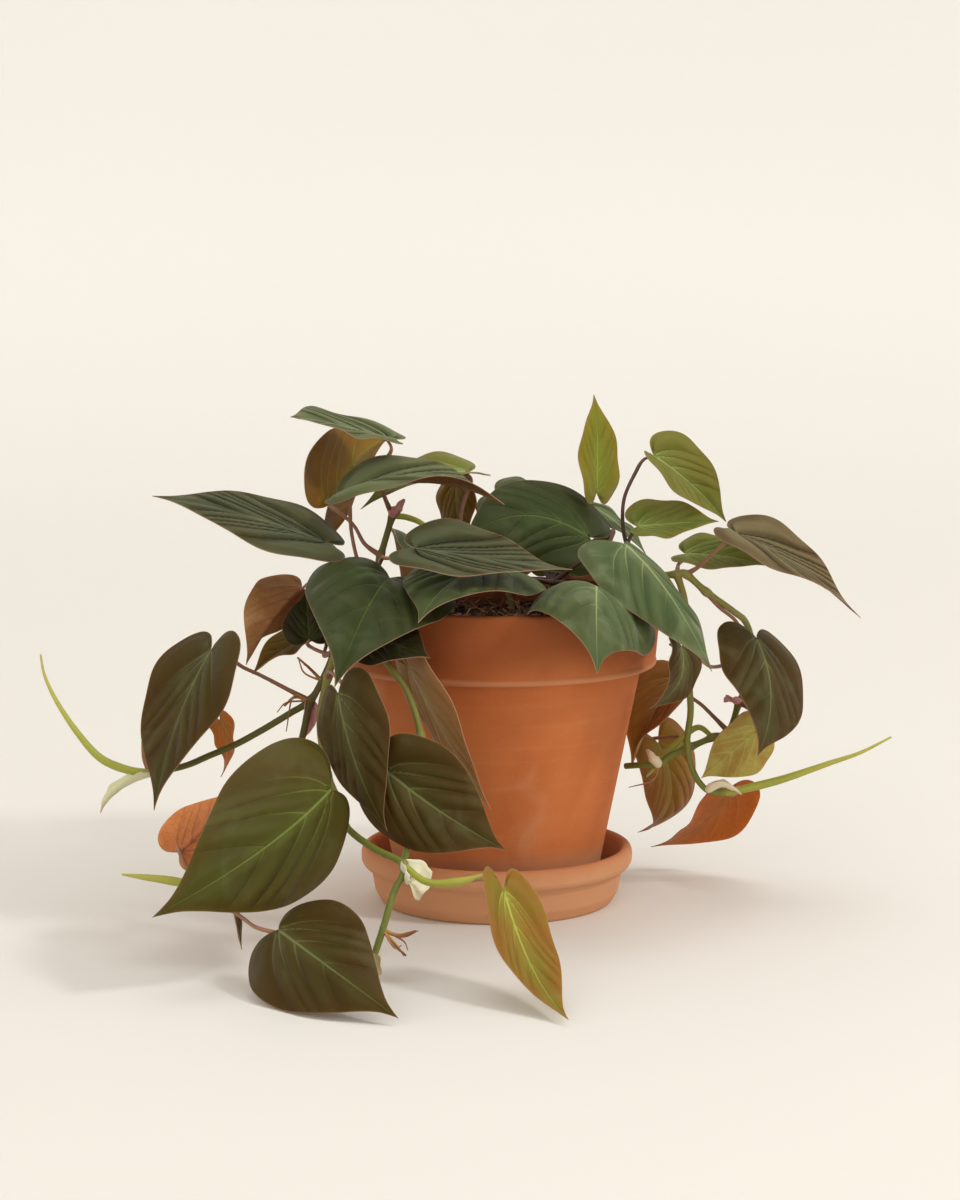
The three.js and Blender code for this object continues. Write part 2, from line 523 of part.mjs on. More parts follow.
// Rows of places on a half blade: each row is a vein from the midrib to the edge, the first one along
// the notch
function bladeRows() {
  const edge = curveThrough(halfOutline.map(([x, y]) => [x, y, 0]));
  const rows = [];
  for (let i = 1; i <= bladeSteps; i += 1) {
    const { x, y } = edge.getPoint(i / bladeSteps);
    const origin = Math.max(0, (x - sinusLength) / (1 - sinusLength)) ** 1.2;
    const sweepForward = 1 + 0.45 * THREE.MathUtils.clamp(x / 0.3, 0, 1);
    const row = [];
    for (let j = 0; j <= bladeRings; j += 1) {
      const share = j / bladeRings;
      row.push([origin + (x - origin) * share ** sweepForward, y * share]);
    }
    rows.push(row);
  }
  return rows;
}

// A thin blade: the upper face, the same triangles again on the lower face, and the edge between them
function bladeGeometry(leaf) {
  const frame = leafFrame(leaf);
  const rows = bladeRows();
  const position = [];
  const triangle = (side, a, b, c) => {
    for (const corner of side > 0 ? [a, b, c] : [a, c, b]) position.push(...corner.toArray());
  };
  for (const side of [1, -1]) {
    const upper = rows.map((row) => row.map(([along, across]) => bladePoint(frame, side, along, across)));
    const top = upper.map((row) => row.map(({ point }) => point));
    const bottom = upper.map((row) => row.map(({ point, depth }) =>
      point.clone().addScaledVector(depth, -bladeThickness)));
    for (let j = 0; j < bladeRings; j += 1) {
      triangle(side, top[0][j], bottom[0][j], bottom[0][j + 1]);
      triangle(side, top[0][j], bottom[0][j + 1], top[0][j + 1]);
    }
    for (let i = 0; i < rows.length - 1; i += 1) {
      for (let j = 0; j < bladeRings; j += 1) {
        triangle(side, top[i][j], top[i][j + 1], top[i + 1][j + 1]);
        triangle(side, top[i][j], top[i + 1][j + 1], top[i + 1][j]);
        triangle(side, bottom[i][j], bottom[i + 1][j + 1], bottom[i][j + 1]);
        triangle(side, bottom[i][j], bottom[i + 1][j], bottom[i + 1][j + 1]);
      }
      const [edgeTop, edgeBottom] = [top[i][bladeRings], bottom[i][bladeRings]];
      const [nextTop, nextBottom] = [top[i + 1][bladeRings], bottom[i + 1][bladeRings]];
      triangle(side, edgeTop, edgeBottom, nextBottom);
      triangle(side, edgeTop, nextBottom, nextTop);
    }
  }
  const geometry = new THREE.BufferGeometry();
  geometry.setAttribute("position", new THREE.Float32BufferAttribute(position, 3));
  return welded(geometry);
}

// The route of a petiole: from its vine, with a bend that brings it up under the leaf's notch
function petioleRoute(name) {
  const frame = leafFrame(leaves[name]);
  const { forward, normal } = midribAxes(frame, 0);
  const drop = bladeThickness + clearance + 0.5 * petioleRadius;
  const end = frame.notch.clone().addScaledVector(normal, -drop);
  end.addScaledVector(forward, -petioleRadius);
  const bend = end.clone().addScaledVector(forward, -0.6 * petioleReach);
  bend.addScaledVector(normal, -0.6 * petioleReach);
  const route = petioles[name][1];
  return [...route, bend.toArray(), end.toArray()];
}

function vineGeometry(name) {
  const vine = vines[name];
  const limbs = [vine.rooted, ...vine.branches].map((route) => stemGeometry(route, stemRadius));
  for (const [route, radii] of [...vine.tips, ...vine.roots]) limbs.push(taperedGeometry(route, radii));
  for (const [route, radii] of vine.sheaths) limbs.push(taperedGeometry(route, radii, 0.5));
  const joints = new Set(vine.branches.map((route) => route[0].toString()));
  for (const leafName of Object.keys(petioles)) {
    if (petioles[leafName][0] !== name) continue;
    limbs.push(stemGeometry(petioleRoute(leafName), petioleRadius, petioleSides));
    joints.add(petioles[leafName][1][0].toString());
  }
  for (const joint of joints) {
    const swelling = new THREE.SphereGeometry(nodeRadius, 5, 4);
    limbs.push(swelling.translate(...joint.split(",").map(Number)));
  }
  return toGeometry(limbs.map(toManifold).reduce((whole, limb) => whole.add(limb)));
}

const plant = new THREE.Group();

function place(name, geometry, material) {
  const mesh = new THREE.Mesh(geometry, material);
  mesh.name = name;
  plant.add(mesh);
}

place("saucer", saucerGeometry(), standard(terracotta));
place("pot", potGeometry(), standard(terracotta));
place("soil", soilGeometry(), standard(earth, 0.95));
for (const name of Object.keys(vines)) {
  place(name, vineGeometry(name), standard(vineTones[vines[name].tone], 0.5));
}
for (const name of Object.keys(leaves)) {
  place(name, bladeGeometry(leaves[name]), standard(leafTones[leaves[name].at(-1)], 0.6));
}

export default plant;
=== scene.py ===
# A velvet-leaved climbing philodendron in a terracotta pot on its saucer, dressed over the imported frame.
# Tables are in millimetres, as the part's source gives them; meshes are made in metres.
import math
import bmesh
import bpy
import numpy as np
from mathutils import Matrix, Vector


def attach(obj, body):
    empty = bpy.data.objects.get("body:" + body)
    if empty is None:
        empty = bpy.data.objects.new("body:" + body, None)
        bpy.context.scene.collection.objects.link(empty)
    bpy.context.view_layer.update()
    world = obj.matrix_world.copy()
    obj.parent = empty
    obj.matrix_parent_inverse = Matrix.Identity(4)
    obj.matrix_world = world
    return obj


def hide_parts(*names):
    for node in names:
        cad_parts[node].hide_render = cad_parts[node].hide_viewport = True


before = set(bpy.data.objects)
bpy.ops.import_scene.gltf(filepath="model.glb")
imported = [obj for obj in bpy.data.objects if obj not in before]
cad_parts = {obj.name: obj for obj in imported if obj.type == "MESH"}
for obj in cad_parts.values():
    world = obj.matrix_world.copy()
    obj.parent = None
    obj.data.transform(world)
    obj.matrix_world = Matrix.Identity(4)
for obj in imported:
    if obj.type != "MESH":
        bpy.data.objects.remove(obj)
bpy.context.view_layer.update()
mm = 0.001
print("frame loaded:", len(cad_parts), "nodes")


# A socket that joins in sums: each operator adds the node that works it out
class Wire:
    def __init__(self, graph, socket):
        self.graph = graph
        self.socket = socket

    def __add__(self, other):
        return self.graph.maths("ADD", self, other)

    def __radd__(self, other):
        return self.graph.maths("ADD", other, self)

    def __sub__(self, other):
        return self.graph.maths("SUBTRACT", self, other)

    def __rsub__(self, other):
        return self.graph.maths("SUBTRACT", other, self)

    def __mul__(self, other):
        return self.graph.maths("MULTIPLY", self, other)

    def __rmul__(self, other):
        return self.graph.maths("MULTIPLY", other, self)

    def __truediv__(self, other):
        return self.graph.maths("DIVIDE", self, other)


# A node tree, for a material or for geometry
class Graph:
    def __init__(self, tree):
        self.tree = tree

    def node(self, kind, settings=None, sockets=None):
        made = self.tree.nodes.new(kind)
        for name, value in (settings or {}).items():
            setattr(made, name, value)
        for key, value in (sockets or {}).items():
            if isinstance(value, Wire):
                self.tree.links.new(value.socket, made.inputs[key])
            else:
                made.inputs[key].default_value = value
        return made

    def wire(self, kind, settings=None, sockets=None, output=0):
        return Wire(self, self.node(kind, settings, sockets).outputs[output])

    def maths(self, operation, *values):
        return self.wire("ShaderNodeMath", {"operation": operation}, dict(enumerate(values)))

    def smooth(self, value, low, high):
        sockets = {"Value": value, "From Min": low, "From Max": high}
        return self.wire("ShaderNodeMapRange", {"interpolation_type": "SMOOTHSTEP"}, sockets)

    def mixed(self, share, first, second):
        return self.wire("ShaderNodeMix", {"data_type": "RGBA"}, {0: share, 6: first, 7: second}, 2)

    def noise(self, place, scale, detail=2, distortion=0):
        sockets = {"Vector": place, "Scale": scale, "Detail": detail, "Distortion": distortion}
        return self.wire("ShaderNodeTexNoise", None, sockets)

    def vectorMaths(self, operation, *values, **named):
        sockets = {**dict(enumerate(values)), **named}
        return self.wire("ShaderNodeVectorMath", {"operation": operation}, sockets)

    def vector(self, **axes):
        return self.wire("ShaderNodeCombineXYZ", None, axes)

    def heightOf(self, place):
        return self.wire("ShaderNodeSeparateXYZ", None, {0: place}, "Z")

    def attribute(self, name):
        return self.wire("ShaderNodeAttribute", {"attribute_name": name}, None, "Fac")

    def objectPlace(self):
        return self.wire("ShaderNodeTexCoord", None, None, "Object")

    def bump(self, height, distance, strength=1):
        sockets = {"Height": height, "Distance": distance, "Strength": strength}
        return self.wire("ShaderNodeBump", None, sockets)

    def position(self):
        return self.wire("GeometryNodeInputPosition")

    def moved(self, geometry, **how):
        return self.wire("GeometryNodeSetPosition", None, {"Geometry": geometry, **how})

    def clad(self, geometry, material, **where):
        sockets = {"Geometry": geometry, "Material": material, **where}
        return self.wire("GeometryNodeSetMaterial", None, sockets)


# A hex code of display colour as the linear colour that a socket takes
def colour(hexCode):
    channels = [int(hexCode[k:k + 2], 16) / 255 for k in (0, 2, 4)]
    linear = [c / 12.92 if c <= 0.04045 else ((c + 0.055) / 1.055) ** 2.4 for c in channels]
    return (*linear, 1)


# A material whose Principled sockets come from describe(graph)
def finish(name, describe):
    material = bpy.data.materials.new(name)
    material.use_nodes = True
    material.node_tree.nodes.clear()
    graph = Graph(material.node_tree)
    shader = graph.wire("ShaderNodeBsdfPrincipled", None, describe(graph))
    graph.node("ShaderNodeOutputMaterial", None, {"Surface": shader})
    return material


def meshPiece(name, vertices, faces, materials, faceMaterials=None, edges=()):
    mesh = bpy.data.meshes.new(name)
    mesh.from_pydata(np.asarray(vertices).tolist(), list(edges), np.asarray(faces).tolist())
    for material in materials:
        mesh.materials.append(material)
    if faceMaterials is not None:
        mesh.polygons.foreach_set("material_index", np.asarray(faceMaterials, np.int32))
    mesh.polygons.foreach_set("use_smooth", [True] * len(mesh.polygons))
    piece = bpy.data.objects.new(name, mesh)
    bpy.context.collection.objects.link(piece)
    return piece


# Values at every point of a mesh; a shell of two skins has them copied for the second
def paintFields(mesh, fields, copies=1):
    for key, values in fields.items():
        layer = mesh.attributes.new(key, "FLOAT", "POINT")
        layer.data.foreach_set("value", np.tile(np.ravel(values), copies).astype(np.float32))


# The quads of a grid of numbered points
def gridFaces(number):
    corners = (number[:-1, :-1], number[:-1, 1:], number[1:, 1:], number[1:, :-1])
    return np.stack([corner.ravel() for corner in corners], axis=1)


# The closing steps of every piece: its body and the frame's node that it stands for, which is hidden; the
# slot is not used
def seat(piece, node, slot):
    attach(piece, "root")
    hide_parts(node)


# A geometry tree with its sizes as named inputs; build(graph, inputs) returns the finished geometry
def geometryTree(name, sizes, build):
    tree = bpy.data.node_groups.new(name, "GeometryNodeTree")
    tree.interface.new_socket("Geometry", in_out="INPUT", socket_type="NodeSocketGeometry")
    for label, (kind, value) in sizes.items():
        made = tree.interface.new_socket(label, in_out="INPUT", socket_type="NodeSocket" + kind)
        if value is not None:
            made.default_value = value
    tree.interface.new_socket("Geometry", in_out="OUTPUT", socket_type="NodeSocketGeometry")
    graph = Graph(tree)
    entry = graph.node("NodeGroupInput")
    inputs = {socket.name: Wire(graph, socket) for socket in entry.outputs if socket.name}
    finished = graph.wire("GeometryNodeRealizeInstances", None, {0: build(graph, inputs)})
    graph.node("NodeGroupOutput", None, {0: finished})
    return tree


# Runs a tree on a piece with the given sizes and keeps the result as its plain mesh
def grow(piece, tree, sizes):
    modifier = piece.modifiers.new(tree.name, "NODES")
    modifier.node_group = tree
    identifiers = {item.name: item.identifier for item in tree.interface.items_tree
                   if item.item_type == "SOCKET" and item.in_out == "INPUT"}
    for label, value in sizes.items():
        modifier[identifiers[label]] = value
    shown = piece.evaluated_get(bpy.context.evaluated_depsgraph_get())
    plain = bpy.data.meshes.new_from_object(shown)
    piece.modifiers.clear()
    piece.data = plain
    plain.name = piece.name
    return piece


# Points along the curve that a route of few points stands for
def smoothPath(points, count):
    points = np.array(points, float)
    padded = np.vstack([2 * points[0] - points[1], points, 2 * points[-1] - points[-2]])
    place = np.linspace(0, len(points) - 1, count)
    span = np.minimum(place.astype(int), len(points) - 2)
    f = (place - span)[:, None]
    before, start, end, after = (padded[span + k] for k in range(4))
    curve = 2 * before - 5 * start + 4 * end - after + f * (3 * (start - end) + after - before)
    return start + 0.5 * f * (end - before + f * curve)


def unit(vectors):
    return vectors / np.linalg.norm(vectors, axis=-1, keepdims=True)


# Camera, floor and light
view = {
    "place": (-7.3, -1210, 288),
    "pitch": 7.4,
    "lens": 85,
    "sensor": 36,
}
cameraData = bpy.data.cameras.new("camera")
cameraData.lens = view["lens"]
cameraData.sensor_width = view["sensor"]
camera = bpy.data.objects.new("camera", cameraData)
camera.location = [mm * value for value in view["place"]]
camera.rotation_euler = (math.radians(90 - view["pitch"]), 0, 0)
bpy.context.collection.objects.link(camera)
bpy.context.scene.camera = camera

studio = {
    "floorRadius": 1.5,
    "coveRadius": 6,
    "wallTop": 7,
    "sides": 96,
    "coveSteps": 32,
    "paper": "ebe9e4",
    "paperWarm": "e8e4dd",
    "glow": "8b8b89",  # of the paper behind, lit on its own
    "glowReach": (0.1, 3.4),  # where the glow begins and where it is full, from the middle
    "air": (1, 0.945, 0.875, 1),
    "airStrength": 0.62,
    "aim": (0, 0, 0.08),  # the place that each lamp faces
}


def studioFinish(graph):
    place = graph.objectPlace()
    shade = graph.noise(place, 0.6, 1)
    paper = graph.mixed(shade, colour(studio["paper"]), colour(studio["paperWarm"]))
    reach = graph.wire("ShaderNodeVectorMath", {"operation": "LENGTH"}, {0: place}, "Value")
    glow = graph.mixed(graph.smooth(reach, *studio["glowReach"]), colour("000000"), colour(studio["glow"]))
    return {"Base Color": paper, "Roughness": 0.85, "Specular IOR Level": 0.2,
            "Emission Color": glow, "Emission Strength": 1.0}


def makeStudio():
    arc = np.linspace(0, math.pi / 2, studio["coveSteps"])
    radii = [0, *(studio["floorRadius"] + studio["coveRadius"] * np.sin(arc))]
    heights = [0, *(studio["coveRadius"] * (1 - np.cos(arc)))]
    radii.append(radii[-1])
    heights.append(studio["wallTop"])
    sides = studio["sides"]
    turns = np.linspace(0, 2 * math.pi, sides, endpoint=False)
    vertices = [(r * math.cos(a), r * math.sin(a), z) for r, z in zip(radii, heights) for a in turns]
    faces = []
    for row in range(len(radii) - 1):
        for k in range(sides):
            after = (k + 1) % sides
            low, high = row * sides, (row + 1) * sides
            faces.append((low + k, high + k, high + after, low + after))
    sweep = meshPiece("studio_sweep", vertices, faces, [finish("studio_paper", studioFinish)])
    sweep.visible_shadow = False


lights = {
    "key": {"place": (1.7, -1.0, 1.75), "size": 0.42, "watts": 19, "tint": (1, 1, 0.99)},
    "front": {"place": (-0.9, -2.4, 1.4), "size": 1.6, "watts": 7, "tint": (1, 1, 1)},
    "top": {"place": (0.2, 0.2, 2.6), "size": 1.8, "watts": 14, "tint": (1, 1, 1)},
}


def makeLights():
    for name, light in lights.items():
        data = bpy.data.lights.new(name, "AREA")
        data.shape = "DISK"
        data.size = light["size"]
        data.energy = light["watts"]
        data.color = light["tint"]
        lamp = bpy.data.objects.new(name, data)
        lamp.location = light["place"]
        lamp.rotation_euler = (Vector(studio["aim"]) - lamp.location).to_track_quat("-Z", "Y").to_euler()
        bpy.context.collection.objects.link(lamp)
    world = bpy.data.worlds.new("studio_air")
    world.use_nodes = True
    background = world.node_tree.nodes["Background"]
    background.inputs["Color"].default_value = studio["air"]
    background.inputs["Strength"].default_value = studio["airStrength"]
    bpy.context.scene.world = world
    bpy.context.scene.view_settings.view_transform = "Standard"


makeStudio()
makeLights()
print("studio ready")


# Pot and saucer: profiles of radius and height, turned about the pot's axis
pottery = {
    "sides": 144,
    "cornerRadius": 0.9,
    "pointSpacing": 4,  # along a profile, at the most
    "rings": 12.0,  # how closely the throwing rings follow each other
    "ringHeight": 0.14,
    "ringStretch": 40,
    "ringedFrom": (0.03, 0.045),  # radii between which the rings come up
    "broadScale": 16,
    "streakScale": (12, 12, 420),
    "speckScale": 900,
    "bloomScale": 26,
    "grainScale": 300,
    "clay": "c4713e",
    "clayDeep": "b2602f",
    "clayPale": "cf8757",
    # pale lime bloom; also the colour of the painted highlight along the collar's lower edge
    "limeAndHighlight": "dcae86",
    "rimShade": "84431f",  # painted shade, darker toward the rim where the leaves overhang the collar
    "rimShadeFrom": (0.108, 0.13),
    "collarHighlightFrom": (0.103, 0.1042),  # painted highlight along the collar's lower edge
    "collarHighlightUntil": (0.1052, 0.107),
    "chalkyUntil": (0.02, 0.034),
}
saucerProfile = [
    (0, 0), (49.8, 0), (50.7, 0.8), (53, 5), (54.4, 13), (55.4, 14.6), (57.6, 15.6), (58.8, 17.6),
    (59, 21.4), (58.3, 23.4), (57, 24.4), (55.2, 24.2), (54, 22.6), (51, 8), (49.4, 5.6), (47.6, 5), (0, 5),
]
potProfile = [
    (7, 5.3), (42.1, 5.3), (43, 6.2), (46, 22), (61.8, 100.6), (62.4, 103), (63.4, 103.6), (67.8, 103.6),
    (68.9, 104.6), (68.9, 105.6), (68.5, 106.8), (69.6, 119), (70, 131.4), (69.5, 132.6), (68.5, 133),
    (66.4, 133), (65.4, 132.6), (65, 131.4), (62.6, 112), (56.6, 98), (41, 22), (38, 12), (7, 12), (7, 5.3),
]


# A profile with its corners rounded and points no further apart than a few millimetres
def roundedProfile(profile):
    points = np.array(profile, float)
    radius, longest = pottery["cornerRadius"], pottery["pointSpacing"]
    result = [points[0]]
    for before, corner, after in zip(points, points[1:], points[2:]):
        reaches = [min(radius, 0.45 * np.linalg.norm(other - corner)) for other in (before, after)]
        start = corner + reaches[0] * unit(before - corner)
        end = corner + reaches[1] * unit(after - corner)
        for f in (0, 0.25, 0.5, 0.75, 1):
            result.append((1 - f) ** 2 * start + 2 * f * (1 - f) * corner + f * f * end)
    result.append(points[-1])
    dense = [result[0]]
    for point in result[1:]:
        pieces = max(1, math.ceil(np.linalg.norm(point - dense[-1]) / longest))
        start = dense[-1]
        dense.extend(start + (point - start) * k / pieces for k in range(1, pieces + 1))
    return np.array(dense)


def turnedForm(graph, inputs):
    count = inputs["Points"]
    sizes = {"Vertices X": inputs["Sides"] + 1, "Vertices Y": count}
    grid = graph.wire("GeometryNodeMeshGrid", None, sizes)
    index = graph.wire("GeometryNodeInputIndex")
    turn = graph.maths("FLOOR", (index + 0.5) / count) * (2 * math.pi) / inputs["Sides"]
    step = graph.maths("FLOOR", graph.maths("MODULO", index + 0.5, count))
    sampled = graph.wire("GeometryNodeSampleIndex", {"data_type": "FLOAT_VECTOR"},
                         {"Geometry": inputs["Geometry"], "Value": graph.position(), "Index": step})
    radius = graph.wire("ShaderNodeSeparateXYZ", None, {0: sampled}, "X")
    height = graph.heightOf(sampled)
    cosine, sine = graph.maths("COSINE", turn), graph.maths("SINE", turn)
    swing = graph.vector(X=cosine, Y=sine, Z=height * pottery["ringStretch"])
    rings = graph.noise(swing, inputs["Rings"])
    wall = graph.smooth(radius, *pottery["ringedFrom"])
    radius = radius - wall * rings * inputs["Ring Height"]
    turned = graph.moved(grid, Position=graph.vector(X=radius * cosine, Y=radius * sine, Z=height))
    merged = graph.wire("GeometryNodeMergeByDistance", None, {"Geometry": turned, "Distance": 1e-6})
    smooth = graph.wire("GeometryNodeSetShadeSmooth", None, {"Geometry": merged})
    return graph.clad(smooth, inputs["Clay"])


def clayFinish(graph):
    place = graph.objectPlace()
    broad = graph.noise(place, pottery["broadScale"], 3, 0.4)
    streaks = graph.noise(graph.vectorMaths("MULTIPLY", place, pottery["streakScale"]), 1, 3)
    specks = graph.noise(place, pottery["speckScale"])
    base = graph.mixed(graph.smooth(broad, 0.35, 0.7), colour(pottery["clay"]), colour(pottery["clayDeep"]))
    base = graph.mixed(graph.smooth(streaks, 0.5, 0.8) * 0.16, base, colour(pottery["clayPale"]))
    base = graph.mixed(graph.smooth(specks, 0.62, 0.75) * 0.25, base, colour(pottery["clayPale"]))
    bloom = graph.smooth(graph.noise(place, pottery["bloomScale"], 4, 0.6), 0.55, 0.8) * 0.3
    base = graph.mixed(bloom, base, colour(pottery["limeAndHighlight"]))
    height = graph.heightOf(place)
    # painted shade on the collar under the leaves, darker toward the rim
    rimShade = graph.smooth(height + broad * 0.02, *pottery["rimShadeFrom"])
    base = graph.mixed(rimShade * 0.7, base, colour(pottery["rimShade"]))
    # painted highlight: a pale band along the collar's lower edge
    collarHighlight = graph.smooth(height, *pottery["collarHighlightFrom"]) * (1 - graph.smooth(height, *pottery["collarHighlightUntil"]))
    chalky = 1 - graph.smooth(height + broad * 0.006, *pottery["chalkyUntil"])
    base = graph.mixed(collarHighlight * 0.3 + chalky * 0.55, base, colour(pottery["limeAndHighlight"]))
    relief = streaks * 0.5 + specks * 0.3 + graph.noise(place, pottery["grainScale"], 3) * 0.4
    return {"Base Color": base, "Roughness": 0.78 + 0.14 * broad, "Specular IOR Level": 0.3,
            "Normal": graph.bump(relief, 0.0006, 0.35)}


turnedTree = geometryTree("turned_form", {
    "Sides": ("Int", 96), "Points": ("Int", 10), "Rings": ("Float", 1.0),
    "Ring Height": ("Float", 0.0), "Clay": ("Material", None),
}, turnedForm)
clay = finish("terracotta_clay", clayFinish)


def makePottery(node, profile):
    points = roundedProfile(profile) * mm
    vertices = [(radius, 0, height) for radius, height in points]
    piece = meshPiece(node + "_turned", vertices, [], [])
    grow(piece, turnedTree, {
        "Sides": pottery["sides"], "Points": len(points), "Rings": pottery["rings"],
        "Ring Height": pottery["ringHeight"] * mm, "Clay": clay,
    })
    seat(piece, node, "terracotta")


makePottery("saucer", saucerProfile)
makePottery("pot", potProfile)
print("pot and saucer turned")


# Leaves: notch, tip, width, roll about the midrib in degrees (0 faces the viewer), fold up from the
# midrib and bend toward the edge of each half in degrees, arch and sweep as shares of the length, twist in
# degrees and colour
leaves = {
    "crown_top": [[-47, 6, 200], [-87, -18, 211], 35, 88, [32, 0], [-27, -18], 0.02, 0.15, 8, "crest"],
    "crown_back": [[-73, 6, 171], [-48, 57, 197], 44, 204, [4, 38], [-25, -8], 0, 0.07, 5, "bronze"],
    "crown_front": [[-61, -14, 178], [3, -29, 175], 48, -98, [20, 23], [-73, 34], 0.11, 0.03, 18, "crest"],
    "crown_right": [[-13, 26, 184], [-59, 12, 169], 35, 67, [12, 12], [0, 0], 0.11, -0.02, 0, "grass"],
    "crown_upright": [[-18, 44, 177], [-14, 39, 147], 27, 50, [8, 8], [-18, -18], 0.06, 0, 0, "bronze"],
    "left_reach": [[-73, -26, 159], [-144, -33, 179], 50, 61, [-14, 21], [21, -37], 0.03, 0.01, 12, "ribbed"],
    "centre_lobe": [[0, 52, 172], [26, 44, 157], 36, -50, [8, 8], [-18, -18], 0.06, 0, 0, "green"],
    "centre_big": [[40, 12, 157], [-16, -10, 157], 46, 33, [0, -12], [-13, -27], 0.07, 0.16, 0, "deep"],
    "centre_behind": [[43, 44, 167], [66, 34, 147], 26, -72, [8, 8], [-18, -18], 0.06, 0, 0, "green"],
    "centre_ribbed": [[-33, -60, 160], [30, -74, 153], 46, -69, [3, -14], [-5, 60], 0, 0.01, 5, "ribbed"],
    "front_drape": [[-1, -41, 149], [-32, -94, 134], 60, 55, [6, 10], [-26, -40], 0.1, 0.02, -15, "green"],
    "front_big": [[-45, -37, 145], [-64, -118, 112], 63, 2, [18, 26], [-70, -36], 0.1, 0.02, -10, "deep"],
    "front_under": [[-52, -77, 124], [-27, -95, 120], 30, -50, [8, 8], [-18, -18], 0.06, 0, 0, "dark"],
    "left_underside": [[-83, -18, 138], [-105, -42, 109], 32, 149, [42, 41], [0, 0], -0.04, -0.08, 45,
        "copper"],
    "left_olive": [[-77, -18, 118], [-104, -22, 102], 25, 70, [30, 27], [-10, -42], 0.03, 0.1, 7, "bronze"],
    "left_dark": [[-79, -34, 119], [-81, -27, 138], 22, 10, [8, 8], [-18, -18], 0.06, 0, 0, "dark"],
    "left_long": [[-119, -50, 116], [-141, -70, 53], 56, 64, [4, 12], [30, -50], 0.05, -0.01, 10, "brown"],
    "left_young": [[-116, -40, 85], [-116, -40, 61], 17, -65, [6, 9], [-24, -30], 0.14, -0.03, 30, "salmon"],
    "left_peach": [[-127, -103, 43], [-106, -83, 65], 26, 175, [3, 8], [-18, -18], 0.07, -0.02, -5, "salmon"],
    "low_big": [[-66, -118, 71], [-130, -176, 34], 64, -14, [-8, -10], [-42, -18], 0.12, 0, -8, "olive"],
    "low_tip": [[-107, -108, 36], [-101, -122, 8], 23, -82, [11, 4], [-10, -22], 0, 0, 0, "brown"],
    "floor_brown": [[-84, -158, 25], [-37, -203, 3], 50, -12, [-5, -22], [-7, -7], 0.12, 0, 0, "brown"],
    "front_long": [[-64, -94, 105], [-44, -111, 53], 41, 44, [-16, -7], [15, -21], 0.07, -0.01, 8, "brown"],
    "front_brown": [[-44, -104, 76], [3, -118, 47], 45, 4, [20, 10], [-50, -10], 0, 0.03, 40, "brown"],
    "pot_hugging": [[-36, -76, 113], [-3, -82, 56], 34, 62, [2, 2], [-14, -14], 0.05, -0.06, 0, "rosy"],
    "right_upright": [[44, 31, 175], [43, 41, 217], 30, 53, [10, 11], [-8, -16], 0.04, -0.02, 22, "fresh"],
    "right_arching": [[68, 10, 192], [99, 7, 164], 30, -40, [37, 35], [-33, 3], 0.02, -0.04, -38, "grass"],
    "right_flat": [[61, 6, 162], [95, 0, 165], 26, -50, [24, 26], [-18, -11], -0.05, -0.07, -15, "grass"],
    "right_behind": [[83, 26, 148], [117, 17, 144], 26, -53, [16, 19], [-10, -16], 0.05, 0.01, -19, "grass"],
    "right_reach": [[104, 4, 159], [155, -14, 125], 45, -82, [9, 0], [-44, 60], 0.05, 0.01, 6, "silver"],
    "right_hanging": [[113, 8, 113], [109, -40, 70], 46, -38, [-6, -2], [-30, 4], 0.06, -0.07, 6, "brown"],
    "right_drape": [[54, -27, 158], [87, -72, 111], 51, -44, [-16, -21], [5, -25], 0.09, 0.03, 0, "green"],
    "rim_drape": [[41, -48, 143], [39, -106, 115], 69, -16, [16, -10], [-108, -42], 0.15, 0.06, 26, "green"],
    "curled_brown": [[77, -40, 116], [63, -52, 92], 21, -59, [-9, 20], [-11, 10], 0.2, -0.01, 14, "brown"],
    "right_inner": [[79, 22, 93], [60, 34, 51], 33, 42, [42, 40], [-10, -6], 0, 0.05, -43, "rosy"],
    "right_purple": [[73, 44, 60], [65, 64, 15], 34, -40, [19, 23], [-25, -53], 0.23, -0.08, 17, "purple"],
    "right_orange": [[103, 26, 43], [70, 48, 12], 34, 129, [-8, -5], [-40, -23], -0.07, 0.09, 12, "orange"],
    "right_pale": [[114, 14, 72], [89, 4, 52], 32, 150, [-6, -6], [-16, -16], 0, 0, -20, "pale"],
    "floor_pale": [[2, -150, 38], [25, -204, 3], 27, -46, [8, 14], [6, 6], -0.1, -0.02, -30, "pale"],
    "back_upper": [[6, 48, 152], [6, 98, 120], 46, 180, [10, 10], [-30, -30], 0.1, 0.02, 4, "green"],
    "back_left": [[-28, 39, 144], [-45, 95, 116], 42, 168, [14, 14], [-20, -20], 0.22, -0.02, -6, "green"],
    "back_right": [[34, 36, 144], [52, 92, 116], 42, 192, [14, 14], [-20, -20], 0.2, 0.02, 6, "olive"],
    "back_crown": [[28, 56, 160], [32, 94, 146], 34, 186, [14, 12], [-24, -30], 0.1, -0.03, -8, "fresh"],
    "back_low": [[2, 86, 102], [-6, 98, 46], 46, 182, [10, 14], [-26, -34], 0.08, 0.03, 6, "brown"],
    "back_low_left": [[-36, 80, 108], [-50, 90, 60], 40, 186, [12, 12], [-28, -20], 0.08, -0.03, 8, "olive"],
    "back_low_right": [[40, 80, 98], [50, 84, 50], 38, 172, [10, 12], [-20, -34], 0.08, 0.03, -8, "brown"],
}

